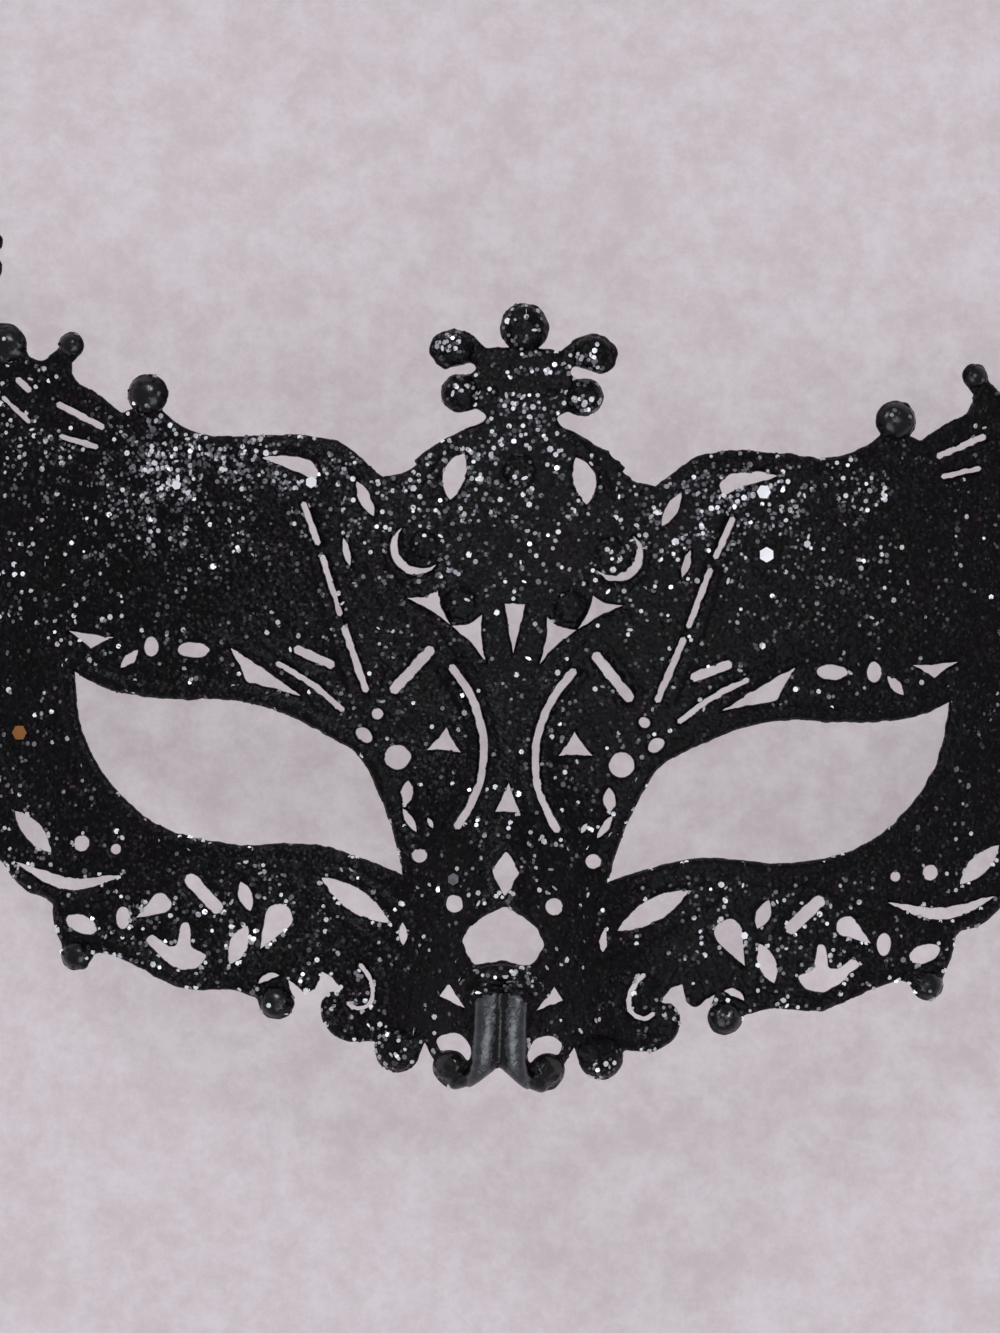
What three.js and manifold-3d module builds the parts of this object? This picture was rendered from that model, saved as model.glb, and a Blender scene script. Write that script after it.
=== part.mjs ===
// Lace Venetian half mask: one moulded plastic sheet, bent round the face and pierced with scrollwork.
// Millimetres. The mask lies on its back: X runs across it, Y up to its crown, Z out of its front.
// The left half (negative X) is drawn, and the right half is its mirror image.
import * as THREE from "three";
import Module from "manifold-3d";

const wasm = await Module();
wasm.setup();

// Driving sizes
const SHEET = 2; // thickness of the sheet
const BEND_RADIUS = 112; // bend of the sheet round the face
const BROW_HEIGHT = 42; // front of the brow above the floor, on the midline
const CROWN_LEAN = 0.0016; // how fast the crown leans back above the brow
const CROWN_SPREAD = 45; // half-width over which it leans back
const CROWN_BASE_Y = 20; // where the lean starts
const NOSE_RISE = 19; // how far the nose tip stands out
const NOSE_START_Y = 8; // where the bridge of the nose leaves the brow
const NOSE_TIP_Y = -48;
const NOSE_TUCK = 0.025; // how fast the nose turns back under its tip
const NOSE_BRIDGE_SPREAD = 9; // half-width of the nose at the bridge
const NOSE_FOOT_SPREAD = 14; // half-width of the nose at its tip
const EDGE_STEP = 2.4; // spacing of points along the outline
const EYE_STEP = 4.4; // spacing of points round the eye openings
const COARSE_GRID = 11; // spacing of points inside the sheet
const FINE_GRID = 6; // the same on the nose
const ROOT = 1; // how deep a raised form is rooted in the sheet
const BALL_INSET = 0.3; // a ball is this much smaller than the lobe it stands on
const TIE_X = 90; // hole for the tie, from the midline
const TIE_Y = 3;
const TIE_HOLE_RADIUS = 2;
const TIE_RING_RADIUS = 4.4;
const TIE_RING_RISE = 0.6;
const COLUMN_HALF_WIDTH = 1.45; // two columns under the tip of the nose
const COLUMN_HEIGHT = 1.5;
const COLLAR_HALF_WIDTH = 1.2; // the collar over them
const COLLAR_HEIGHT = 1.8;

// Height of the sheet's front at a point of the drawing
function frontHeight(x, y) {
  const bend = (x * x) / (2 * BEND_RADIUS);
  const leanY = Math.max(0, y - CROWN_BASE_Y);
  const lean = CROWN_LEAN * leanY * leanY * Math.exp(-((x / CROWN_SPREAD) ** 2));
  const down = THREE.MathUtils.clamp((NOSE_START_Y - y) / (NOSE_START_Y - NOSE_TIP_Y), 0, 1);
  const under = Math.max(0, NOSE_TIP_Y - y);
  const rise = NOSE_RISE * down * down * (3 - 2 * down) - NOSE_TUCK * under * under;
  const spread = NOSE_BRIDGE_SPREAD + (NOSE_FOOT_SPREAD - NOSE_BRIDGE_SPREAD) * down;
  return BROW_HEIGHT - bend - lean + rise * Math.exp(-((x / spread) ** 2));
}

// Outward direction of the sheet's front
function outward(x, y) {
  const e = 0.01;
  const slopeX = (frontHeight(x + e, y) - frontHeight(x - e, y)) / (2 * e);
  const slopeY = (frontHeight(x, y + e) - frontHeight(x, y - e)) / (2 * e);
  return new THREE.Vector3(-slopeX, -slopeY, 1).normalize();
}

// Point at a distance outside the front of the sheet (negative: inside it)
function onSheet(x, y, out = 0) {
  return new THREE.Vector3(x, y, frontHeight(x, y)).addScaledVector(outward(x, y), out);
}

// Smooth curve through points
function curve(points, step = EDGE_STEP) {
  const spline = new THREE.SplineCurve(points.map(([x, y]) => new THREE.Vector2(x, y)));
  const count = Math.max(2, Math.round(spline.getLength() / step));
  return spline.getSpacedPoints(count).map((p) => [p.x, p.y]);
}

// Arc of a circle or an upright ellipse, in degrees anticlockwise from +X
function arc(x, y, radius, from, to, upRadius = radius, step = EDGE_STEP) {
  const sweep = THREE.MathUtils.degToRad(to - from);
  const count = Math.max(3, Math.round(Math.abs(sweep * radius) / Math.min(step, radius * 0.8)));
  return Array.from({ length: count + 1 }, (_, i) => {
    const a = THREE.MathUtils.degToRad(from) + (sweep * i) / count;
    return [x + radius * Math.cos(a), y + upRadius * Math.sin(a)];
  });
}

// Shallow bow between two points, bulging to the right of the way it runs
function scallop([x0, y0], [x1, y1], bulge) {
  const length = Math.hypot(x1 - x0, y1 - y0);
  const count = Math.max(3, Math.round(length / EDGE_STEP / 1.4));
  return Array.from({ length: count + 1 }, (_, i) => {
    const t = i / count;
    const out = (4 * bulge * t * (1 - t)) / length;
    return [x0 + (x1 - x0) * t + (y1 - y0) * out, y0 + (y1 - y0) * t - (x1 - x0) * out];
  });
}

// Closed band along a curve, whose width at a share t of the length is given by widthAt
function band(points, widthAt, steps) {
  const spline = new THREE.SplineCurve(points.map(([x, y]) => new THREE.Vector2(x, y)));
  const right = [];
  const left = [];
  for (let i = 0; i <= steps; i++) {
    const t = i / steps;
    const p = spline.getPointAt(t);
    const d = spline.getTangentAt(t);
    const half = widthAt(t) / 2;
    right.push([p.x + d.y * half, p.y - d.x * half]);
    if (half > 0.01) left.unshift([p.x - d.y * half, p.y + d.x * half]);
  }
  return [...right, ...left];
}

// Pierced shapes
const bluntEnds = (t) => (Math.min(t, 1 - t) < 0.01 ? 0.45 : 1);
const pointedEnds = (t) => Math.sin(Math.PI * t) ** 0.8;

function slot(x0, y0, x1, y1, width) {
  const grow = width / 2 / Math.hypot(x1 - x0, y1 - y0);
  const ends = [
    [x0, y0],
    [x0 + (x1 - x0) * grow, y0 + (y1 - y0) * grow],
    [x1 - (x1 - x0) * grow, y1 - (y1 - y0) * grow],
    [x1, y1],
  ];
  const across = [(y1 - y0) / Math.hypot(x1 - x0, y1 - y0), -(x1 - x0) / Math.hypot(x1 - x0, y1 - y0)];
  const half = [0.22, 0.5, 0.5, 0.22].map((share) => share * width);
  const right = ends.map(([x, y], i) => [x + across[0] * half[i], y + across[1] * half[i]]);
  const left = ends.map(([x, y], i) => [x - across[0] * half[i], y - across[1] * half[i]]);
  return [...right, ...left.reverse()];
}

const bentSlot = (points, width, steps = 7) => band(points, (t) => width * bluntEnds(t), steps);
const leaf = (x0, y0, x1, y1, width) =>
  band([[x0, y0], [x1, y1]], (t) => Math.max(0, width * pointedEnds(t)), 4);
const bentLeaf = (points, width, steps = 6) =>
  band(points, (t) => Math.max(0, width * pointedEnds(t)), steps);
const crescent = (x, y, radius, from, to, width) =>
  bentLeaf(arc(x, y, radius, from, to, radius, radius * 0.4), width, 7);

function oval(x, y, radius, upRadius = radius, turn = 0) {
  const a = THREE.MathUtils.degToRad(turn);
  const count = radius < 1.2 ? 6 : 8;
  return Array.from({ length: count }, (_, i) => {
    const u = radius * Math.cos((2 * Math.PI * i) / count);
    const v = upRadius * Math.sin((2 * Math.PI * i) / count);
    return [x + u * Math.cos(a) - v * Math.sin(a), y + u * Math.sin(a) + v * Math.cos(a)];
  });
}

// Drop with a pointed tail and a round head
function drop(tailX, tailY, headX, headY, radius) {
  const turn = THREE.MathUtils.radToDeg(Math.atan2(tailY - headY, tailX - headX));
  return [[tailX, tailY], ...arc(headX, headY, radius, turn + 60, turn + 300)];
}

// Three-cornered hole whose sides bow in towards its middle by a share of their distance from it
function threeCorner(corners, hollow) {
  const midX = (corners[0][0] + corners[1][0] + corners[2][0]) / 3;
  const midY = (corners[0][1] + corners[1][1] + corners[2][1]) / 3;
  return corners.flatMap(([x, y], i) => {
    const [nextX, nextY] = corners[(i + 1) % 3];
    const sideX = (x + nextX) / 2;
    const sideY = (y + nextY) / 2;
    return [[x, y], [sideX + (midX - sideX) * hollow, sideY + (midY - sideY) * hollow]];
  });
}

const mirrored = (loop) => loop.map(([x, y]) => [-x, y]).reverse();

// Balls that end the scrolls: centre and radius of the lobe each stands on
const CROWN_BALL = [0, 59.4, 3.9];
const UPPER_LOBE = [-11, 55.5, 3.3];
const LOWER_LOBE = [-9.9, 48.7, 3.1];
const TIP_BALL = [-90, 74, 2.6];
const BROW_BALL = [-59.9, 46.8, 3.25];
const STALK_BALL = [-72.5, 54.4, 2.1];
const WING_BALL = [-83.2, 54.2, 3.4];
const CHEEK_BALL = [-68.2, -43.3, 2.5];
const CURL_BALL = [-35.8, -49.5, 2.8];
const FOOT_BALL = [-16.2, -56.3, 3.6];
const VOLUTE = [-7.7, -58.6, 2.8];
const VOLUTE_LOBE = [-7, -58.5, 3.5];
const sideBalls = [
  UPPER_LOBE, LOWER_LOBE, TIP_BALL, BROW_BALL, STALK_BALL, WING_BALL, CHEEK_BALL, CURL_BALL, FOOT_BALL,
  VOLUTE,
];

// Left half of the outline, anticlockwise from the top of the crown to the notch under the nose
const crown = [
  ...arc(...CROWN_BALL, 90, 235),
  [-6, 56],
  ...arc(UPPER_LOBE[0], UPPER_LOBE[1], 4.1, 30, 250, UPPER_LOBE[2]),
  ...curve([[-9.8, 53.2], [-8.2, 53.5], [-7.5, 52.6], [-8.6, 51.6]], 1.2),
  ...arc(...LOWER_LOBE, 105, 285),
  ...curve([[-7.2, 46.3], [-5.6, 45.2], [-6.4, 44], [-8.5, 43.1]]),
];
const shoulder = [
  ...curve([[-8.5, 43.1], [-12, 41.2], [-15, 39.2], [-16.9, 37.6]], 2.8),
  ...curve([[-16.4, 37], [-18.4, 35.7], [-21.8, 34.9]], 2.8),
];
const brow = curve(
  [[-21.8, 34.9], [-25, 37.5], [-28.5, 40], [-34, 41.1], [-41, 40.9], [-49, 40.5], [-54, 41.9], [-57, 44]],
  3.2,
);
const wingTop = [
  ...arc(...BROW_BALL, -44, 225),
  ...curve([[-64, 43.8], [-68, 46.7], [-71.5, 48.7], [-72.3, 51.5]]),
  ...arc(...STALK_BALL, -50, 195),
  ...curve([[-76.3, 52.2], [-77.8, 51.8], [-79.3, 52.4]]),
  ...arc(...WING_BALL, -10, 205),
  [-87.6, 51.6],
];
const tip = [
  [-88, 61],
  ...arc(-86.2, 66.3, 2.1, -105, 60),
  [-88.2, 68.4],
  ...arc(-86.4, 70.6, 2.3, -60, 110, 1.9),
  ...arc(...TIP_BALL, -35, 215),
  ...arc(-93.6, 70.6, 2.2, 70, 240, 1.9),
  [-91.8, 68.4],
  ...arc(-93.4, 66.3, 2, 115, 285),
];
const side = [
  ...scallop([-92.3, 61.5], [-93, 38], 3.4),
  ...scallop([-93, 38], [-93, 10.5], 3.1),
  ...scallop([-93, 10.5], [-91, -15], 3.9),
  ...scallop([-91, -15], [-80.5, -29], 2.2),
];
const cheek = [
  ...curve([[-80.5, -29], [-79, -31.2], [-76.6, -33.4], [-73.4, -34.5]]),
  ...curve([[-72.4, -35.4], [-72.1, -38], [-70.9, -41.2]]),
  ...arc(...CHEEK_BALL, 160, 338),
  ...curve(
    [[-65.2, -43.2], [-63.5, -42.8], [-60, -44], [-54, -46.8], [-50, -48], [-43, -47.9], [-39, -49]],
    3,
  ),
];
const curls = [
  ...arc(...CURL_BALL, 182, 392),
  ...curve([[-34.1, -45.8], [-32.9, -46.6], [-31.2, -47.9], [-29.6, -47.1], [-28.8, -44.3]], 1.7),
  [-27, -45.2],
  [-25.5, -47.2],
  ...curve([[-27.2, -47.5], [-28.7, -49.6], [-27.6, -53.3], [-24.4, -55.2], [-20.2, -55.1]]),
  ...arc(...FOOT_BALL, 165, 350),
  [-11.9, -54.8],
  ...arc(...VOLUTE_LOBE, 165, 285),
  [-3.7, -60.9],
  [-1.4, -59.1],
];
const half = [
  ...crown, ...shoulder, ...brow, ...wingTop, ...tip, ...side, ...cheek, ...curls,
];
const outline = [...half, [0, -58.3], ...mirrored(half)];

// Almond eye opening with a sharp outer corner and a corner low beside the nose
const eye = [
  ...curve(
    [[-70.1, 2.1], [-66, 0], [-60, -1.4], [-52, -1.8], [-45, -1.6], [-37, -3.2], [-28, -7.3],
      [-24, -9.9], [-21, -15], [-18, -22.3], [-16.4, -28.4]],
    EYE_STEP,
  ),
  ...curve(
    [[-16.4, -28.4], [-20, -27], [-27, -24.8], [-33, -24], [-44, -24.5], [-54, -22.6], [-60.8, -18.4],
      [-66.3, -12], [-69, -5.5], [-70.1, 2.1]],
    EYE_STEP,
  ),
];

// Pierced pattern of the left half, from the wing in to the nose and down to the cheek
const lace = [
  // wing
  slot(-74.6, 45, -66.5, 41.2, 1),
  slot(-74, 39.8, -67.5, 38.1, 0.8),
  slot(-81.3, 48.9, -78.8, 46.7, 1),
  slot(-83.5, 45.9, -78.7, 41.7, 0.7),
  slot(-91, 50.5, -87.4, 44.2, 1.2),
  leaf(-90.4, 34, -88.4, 22, 2.4),
  leaf(-88.6, -5, -85.6, -14, 2.2),
  // arch over the brow
  [[-41.4, 37.3], [-38, 36.1], [-34.4, 34.8], [-32.6, 33.7], [-31.9, 35.5], [-33.4, 37.2], [-38, 37.8]],
  leaf(-25.9, 34, -23, 28.6, 2),
  slot(-34.4, 30.5, -31.6, 23.6, 0.9),
  slot(-31.1, 22.2, -27.7, 12.4, 0.9),
  slot(-27.2, 11, -23.1, 0.4, 1.1),
  leaf(-27.7, 24.9, -26.5, 20.5, 1.1),
  // beside the crown
  bentLeaf([[-8.9, 39], [-10.4, 35.6], [-10.9, 31.6]], 3.6),
  crescent(-15.6, 24, 4, 135, 315, 1.3),
  threeCorner([[-17.2, 15.7], [-12.4, 17.1], [-10.2, 11.7]], 0.3),
  threeCorner([[-9.9, 11.5], [-5.2, 13.4], [-4.3, 5.9]], 0.25),
  // bridge of the nose
  slot(-19.2, 0.5, -12.8, 8, 1.6),
  bentSlot([[-10, 5.3], [-6.5, 0.4], [-4.3, -6], [-4.4, -12.5], [-6, -17], [-8.2, -20.8]], 1.2),
  oval(-17.9, -9.7, 2),
  oval(-23.3, -6.4, 1.4, 1, -40),
  oval(-21.3, -2.9, 0.9),
  threeCorner([[-10.2, -4.7], [-13.2, -8.4], [-7.8, -8.6]], 0.15),
  leaf(-16, -13.4, -16.3, -17.3, 1.9),
  leaf(-16.7, -17.9, -14.4, -21.5, 1.3),
  leaf(-12.7, -19.2, -11.8, -20.8, 0.8),
  oval(-13.8, -25.2, 1.15),
  // over the eye
  threeCorner([[-71.3, 8.6], [-64, 7.8], [-67.6, 5.9]], 0.1),
  oval(-57.9, 6.5, 1.15, 1.6),
  leaf(-62.7, 3, -60, 5.9, 1.5),
  oval(-51.1, 6.2, 2.5, 1.2),
  [[-45.3, 6.9], [-40, 3.7], [-36.5, 1.4], [-33.4, -0.6], [-37, 0.3], [-42.4, 1.4], [-43.2, 3.6]],
  bentSlot([[-37.8, 4.7], [-31.8, 1.4], [-26.6, -2.7]], 0.85, 4),
  slot(-35, 7.1, -28.4, 4.4, 1.4),
  // under the outer corner of the eye
  oval(-67.6, -38.3, 2.6, 1.4, -20),
  bentLeaf([[-78.6, -28.8], [-70, -31.9], [-61.4, -30.3]], 1.9),
  leaf(-79, -20.6, -72.9, -27, 3),
  oval(-68, -25.3, 1.25),
  oval(-62.4, -26.1, 0.8),
  drop(-58.8, -36.9, -54.9, -34.4, 1.65),
  oval(-60.9, -37, 1.15, 1.8),
  // cheek
  [[-57.3, -40.4], [-54.2, -43.3], [-51.4, -45], [-48.8, -44.7], [-47.1, -42.5], [-49.8, -41.4],
    [-50.2, -37.2], [-51.5, -37.4], [-52.1, -41.2], [-53.7, -41.2], [-56, -39.3]],
  slot(-50.9, -29.8, -45.2, -35.5, 2.1),
  leaf(-42.2, -30.5, -40.5, -35.1, 2.2),
  leaf(-40.9, -37.5, -43.5, -43.7, 2.9),
  drop(-38.7, -41.1, -35.9, -36, 2.2),
  leaf(-29.3, -29.4, -18.2, -36.1, 3.6),
  // curls and the side of the nose
  crescent(-36, -48.6, 3.4, 145, 82, 1.1),
  bentSlot([[-22.8, -42.8], [-20.7, -45.6], [-20.7, -48.8], [-22.8, -50], [-24.6, -49]], 0.7),
  leaf(-16, -35.9, -15.9, -39.6, 1.4),
  oval(-7.9, -32.6, 1.4),
  threeCorner([[-9.8, -47.4], [-8.4, -45.3], [-5.7, -49.1]], 0),
  [...arc(-7.6, -56.2, 3.1, 145, -25), ...arc(...VOLUTE, 20, 125)],
];

// Foot of the nose: middle line of the right column, and of the collar
const column = [[2.55, -45], [2.55, -52], [2.8, -57], [3.3, -59.7]];
const collar = [[-4.6, -45.6], [-2.6, -43.8], [0, -43.1], [2.6, -43.8], [4.6, -45.6]];

// Holes on the midline
const midline = [
  threeCorner([[-1.6, 15.3], [1.6, 15.3], [0, 7.5]], 0),
  threeCorner([[0, -13.2], [-1.95, -17.8], [1.95, -17.8]], 0.05),
  [[0, -23.9], [-0.8, -25], [-2.3, -27.2], [-1, -29.5], [0, -31.3], [1, -29.5], [2.3, -27.2], [0.8, -25]],
  [[0, -32.8], [-3, -34.3], [-5.4, -36.2], [-6.6, -38.6], [-5.4, -41], [-4.2, -42.2], [0, -41.2],
    [4.2, -42.2], [5.4, -41], [6.6, -38.6], [5.4, -36.2], [3, -34.3]],
];
const holes = [eye, mirrored(eye), ...lace, ...lace.map(mirrored), ...midline];

// Loop without points that nearly coincide
const tidyLoop = (loop) =>
  loop.filter(([x, y], i) => {
    const [nextX, nextY] = loop[(i + 1) % loop.length];
    return Math.hypot(nextX - x, nextY - y) > 0.15;
  });

const cross = (a, b, c) => (b[0] - a[0]) * (c[1] - a[1]) - (b[1] - a[1]) * (c[0] - a[0]);

function isInside(loop, [x, y]) {
  let inside = false;
  loop.forEach(([x0, y0], i) => {
    const [x1, y1] = loop[(i + 1) % loop.length];
    if (y0 > y !== y1 > y && x < x0 + ((x1 - x0) * (y - y0)) / (y1 - y0)) inside = !inside;
  });
  return inside;
}

function edgeDistance(loop, [x, y]) {
  return Math.min(
    ...loop.map(([x0, y0], i) => {
      const [x1, y1] = loop[(i + 1) % loop.length];
      const length2 = (x1 - x0) ** 2 + (y1 - y0) ** 2;
      const t = THREE.MathUtils.clamp(((x - x0) * (x1 - x0) + (y - y0) * (y1 - y0)) / length2, 0, 1);
      return Math.hypot(x - x0 - t * (x1 - x0), y - y0 - t * (y1 - y0));
    }),
  );
}

// Points inside the sheet, closer together on the nose, so that it can bend
function innerPoints(loops) {
  const found = [];
  for (let row = 0; row * FINE_GRID < 150; row++) {
    for (let column = -20; column <= 20; column++) {
      const x = (column + (row % 2) / 2) * FINE_GRID;
      const y = -62 + row * FINE_GRID * 0.87;
      const onNose = Math.abs(x) < 24 && y < NOSE_START_Y;
      const coarse = row % 2 === 0 && (column + row / 2) % 2 === 0;
      const gap = (onNose ? FINE_GRID : COARSE_GRID) * 0.3;
      const kept =
        (onNose || coarse) &&
        isInside(loops[0], [x, y]) &&
        loops.every((loop, i) => edgeDistance(loop, [x, y]) > gap && (i === 0 || !isInside(loop, [x, y])));
      if (kept) found.push([x, y]);
    }
  }
  return found;
}

// Flat triangles between the loops and through the inner points
function triangulate(loops, inner) {
  const [contour, ...openings] = loops.map((loop) => loop.map(([x, y]) => new THREE.Vector2(x, y)));
  const points = loops.flat();
  const turned = ([a, b, c]) => (cross(points[a], points[b], points[c]) < 0 ? [a, c, b] : [a, b, c]);
  const faces = THREE.ShapeUtils.triangulateShape(contour, openings).map(turned);
  for (const p of inner) {
    const home = faces.findIndex((f) =>
      [0, 1, 2].every((k) => cross(points[f[k]], points[f[(k + 1) % 3]], p) > 1e-6),
    );
    if (home < 0) continue;
    const [a, b, c] = faces[home];
    const n = points.push(p) - 1;
    faces.splice(home, 1, [a, b, n], [b, c, n], [c, a, n]);
  }
  return { points, faces: evenOut(points, faces) };
}

// Swap shared edges until no triangle's circle holds its neighbour's far corner
function evenOut(points, faces) {
  for (let swapped = true; swapped; ) {
    swapped = false;
    const owner = new Map();
    faces.forEach((f, i) => [0, 1, 2].forEach((k) => owner.set(f[k] + " " + f[(k + 1) % 3], i)));
    const touched = new Set();
    for (let i = 0; i < faces.length; i++) {
      for (let k = 0; k < 3; k++) {
        const [a, b, c] = [faces[i][k], faces[i][(k + 1) % 3], faces[i][(k + 2) % 3]];
        const j = owner.get(b + " " + a);
        if (j === undefined || touched.has(i) || touched.has(j)) continue;
        const d = faces[j].find((v) => v !== a && v !== b);
        const convex =
          cross(points[c], points[a], points[d]) > 1e-6 && cross(points[d], points[b], points[c]) > 1e-6;
        if (convex && circleHolds(points[a], points[b], points[c], points[d])) {
          faces[i] = [c, a, d];
          faces[j] = [d, b, c];
          touched.add(i).add(j);
          swapped = true;
        }
      }
    }
  }
  return faces;
}

function circleHolds(a, b, c, d) {
  const [ax, ay, bx, by, cx, cy] = [a, b, c].flatMap(([x, y]) => [x - d[0], y - d[1]]);
  const [a2, b2, c2] = [ax * ax + ay * ay, bx * bx + by * by, cx * cx + cy * cy];
  return ax * (by * c2 - b2 * cy) - ay * (bx * c2 - b2 * cx) + a2 * (bx * cy - by * cx) > 1e-6;
}

// Closed solid from corner points and faces
function solidOf(corners, faces) {
  const mesh = new wasm.Mesh({
    numProp: 3,
    vertProperties: new Float32Array(corners.flatMap((p) => [p.x, p.y, p.z])),
    triVerts: new Uint32Array(faces.flat()),
  });
  return new wasm.Manifold(mesh);
}

// Solid of a three.js geometry whose seams are closed by merging equal corners
function solidOfGeometry(geometry) {
  const position = geometry.toNonIndexed().attributes.position;
  const corners = [];
  const known = new Map();
  const order = Array.from({ length: position.count }, (_, i) => {
    const p = new THREE.Vector3().fromBufferAttribute(position, i);
    const key = p.toArray().map((v) => Math.round(v * 1e4)).join(" ");
    if (!known.has(key)) known.set(key, corners.push(p) - 1);
    return known.get(key);
  });
  const faces = [];
  for (let i = 0; i < order.length; i += 3) {
    const [a, b, c] = order.slice(i, i + 3);
    if (a !== b && b !== c && a !== c) faces.push([a, b, c]);
  }
  return solidOf(corners, faces);
}

// The back of the sheet below a point of the drawing: edges and holes run straight along Z, the way
// the mould opens, and the thickness is measured square to the front
function behindSheet(x, y) {
  return new THREE.Vector3(x, y, frontHeight(x, y) - SHEET / outward(x, y).z);
}

// The sheet: the flat triangles lifted to the front and to the back, and the edges between them
function sheetSolid() {
  const loops = [outline, ...holes].map(tidyLoop);
  const { points, faces } = triangulate(loops, innerPoints(loops));
  const n = points.length;
  const corners = [
    ...points.map(([x, y]) => onSheet(x, y)),
    ...points.map(([x, y]) => behindSheet(x, y)),
  ];
  const edges = new Set(faces.flatMap(([a, b, c]) => [a + " " + b, b + " " + c, c + " " + a]));
  const walls = [];
  for (const edge of edges) {
    const [a, b] = edge.split(" ").map(Number);
    if (!edges.has(b + " " + a)) walls.push([a, a + n, b + n], [a, b + n, b]);
  }
  return solidOf(corners, [...faces, ...faces.map(([a, b, c]) => [a + n, c + n, b + n]), ...walls]);
}

// Frame standing on the front of the sheet, its Z axis outward
function frameAt(x, y) {
  const turn = new THREE.Quaternion().setFromUnitVectors(new THREE.Vector3(0, 0, 1), outward(x, y));
  return new THREE.Matrix4().compose(onSheet(x, y), turn, new THREE.Vector3(1, 1, 1));
}

// Domed ball rooted in the sheet
function ball(x, y, lobeRadius, height = lobeRadius * 0.62) {
  const radius = lobeRadius - BALL_INSET;
  const profile = [new THREE.Vector2(0, -ROOT), new THREE.Vector2(radius, -ROOT)];
  for (let i = 0; i <= 3; i++) {
    const a = (Math.PI / 2) * (i / 3);
    profile.push(new THREE.Vector2(i === 3 ? 0 : radius * Math.cos(a), height * Math.sin(a)));
  }
  const dome = new THREE.LatheGeometry(profile, 9).rotateX(Math.PI / 2);
  return solidOfGeometry(dome.applyMatrix4(frameAt(x, y)));
}

// Rounded bar standing on the sheet along a curve of the drawing, narrowed at its ends
function bar(points, halfWidth, height, steps, taper = 0.5) {
  const spline = new THREE.SplineCurve(points.map(([x, y]) => new THREE.Vector2(x, y)));
  const section = [[-1, -ROOT], [-1, 0]];
  for (let i = 1; i <= 5; i++) section.push([-Math.cos((Math.PI * i) / 6), Math.sin((Math.PI * i) / 6)]);
  section.push([1, 0], [1, -ROOT]);
  const m = section.length;
  const corners = [];
  for (let i = 0; i <= steps; i++) {
    const p = spline.getPointAt(i / steps);
    const d = spline.getTangentAt(i / steps);
    const size = i === 0 || i === steps ? taper : 1;
    for (const [across, up] of section) {
      const u = across * halfWidth * size;
      const out = up > 0 ? up * height * size : up;
      corners.push(onSheet(p.x + d.y * u, p.y - d.x * u, out));
    }
  }
  const faces = [];
  for (let i = 0; i < steps; i++) {
    for (let k = 0; k < m; k++) {
      const [a, b] = [i * m + k, i * m + ((k + 1) % m)];
      faces.push([a, b, b + m], [a, b + m, a + m]);
    }
  }
  for (let k = 1; k < m - 1; k++) {
    faces.push([0, k + 1, k], [steps * m, steps * m + k, steps * m + k + 1]);
  }
  return solidOf(corners, faces);
}

// Round plug or drill standing on the sheet, from one height above its front to another
function plug(x, y, radius, from, to) {
  const cylinder = new THREE.CylinderGeometry(radius, radius, to - from, 20)
    .rotateX(Math.PI / 2)
    .translate(0, 0, (from + to) / 2);
  return solidOfGeometry(cylinder.applyMatrix4(frameAt(x, y)));
}

function build() {
  let mask = sheetSolid();
  for (const [x, y, radius] of sideBalls) {
    mask = mask.add(ball(x, y, radius)).add(ball(-x, y, radius));
  }
  mask = mask.add(ball(...CROWN_BALL));
  for (const sideSign of [-1, 1]) {
    const route = column.map(([x, y]) => [x * sideSign, y]);
    mask = mask.add(bar(route, COLUMN_HALF_WIDTH, COLUMN_HEIGHT, 5, 0.9));
    mask = mask.add(plug(TIE_X * sideSign, TIE_Y, TIE_RING_RADIUS, -ROOT, TIE_RING_RISE));
    mask = mask.subtract(plug(TIE_X * sideSign, TIE_Y, TIE_HOLE_RADIUS, -2 * SHEET, SHEET));
  }
  mask = mask.add(bar(collar, COLLAR_HALF_WIDTH, COLLAR_HEIGHT, 8));
  const floor = solidOfGeometry(new THREE.BoxGeometry(300, 300, 20).translate(0, 0, -10));
  return mask.subtract(floor);
}

// Geometry standing on the middle of its own bounding box
function standingGeometry(solid) {
  const mesh = solid.getMesh();
  const geometry = new THREE.BufferGeometry();
  geometry.setAttribute("position", new THREE.BufferAttribute(new Float32Array(mesh.vertProperties), 3));
  geometry.setIndex(new THREE.BufferAttribute(new Uint32Array(mesh.triVerts), 1));
  geometry.computeBoundingBox();
  const { min, max } = geometry.boundingBox;
  return geometry.translate(-(min.x + max.x) / 2, -(min.y + max.y) / 2, -min.z);
}

const mask = new THREE.Mesh(
  standingGeometry(build()),
  new THREE.MeshStandardMaterial({ color: 0x0d0b0e, roughness: 0.3, side: THREE.DoubleSide }),
);
mask.name = "mask";
const group = new THREE.Group();
group.add(mask);

export default group;
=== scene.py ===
"""Looks of a lace Venetian half mask that lies on its back: black plastic, pierced with scrollwork
and coated with black and silver glitter. The drawing is in millimetres, the scene in metres."""

import math

import bpy
import numpy as np
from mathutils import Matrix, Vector, kdtree
from mathutils.geometry import delaunay_2d_cdt


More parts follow.
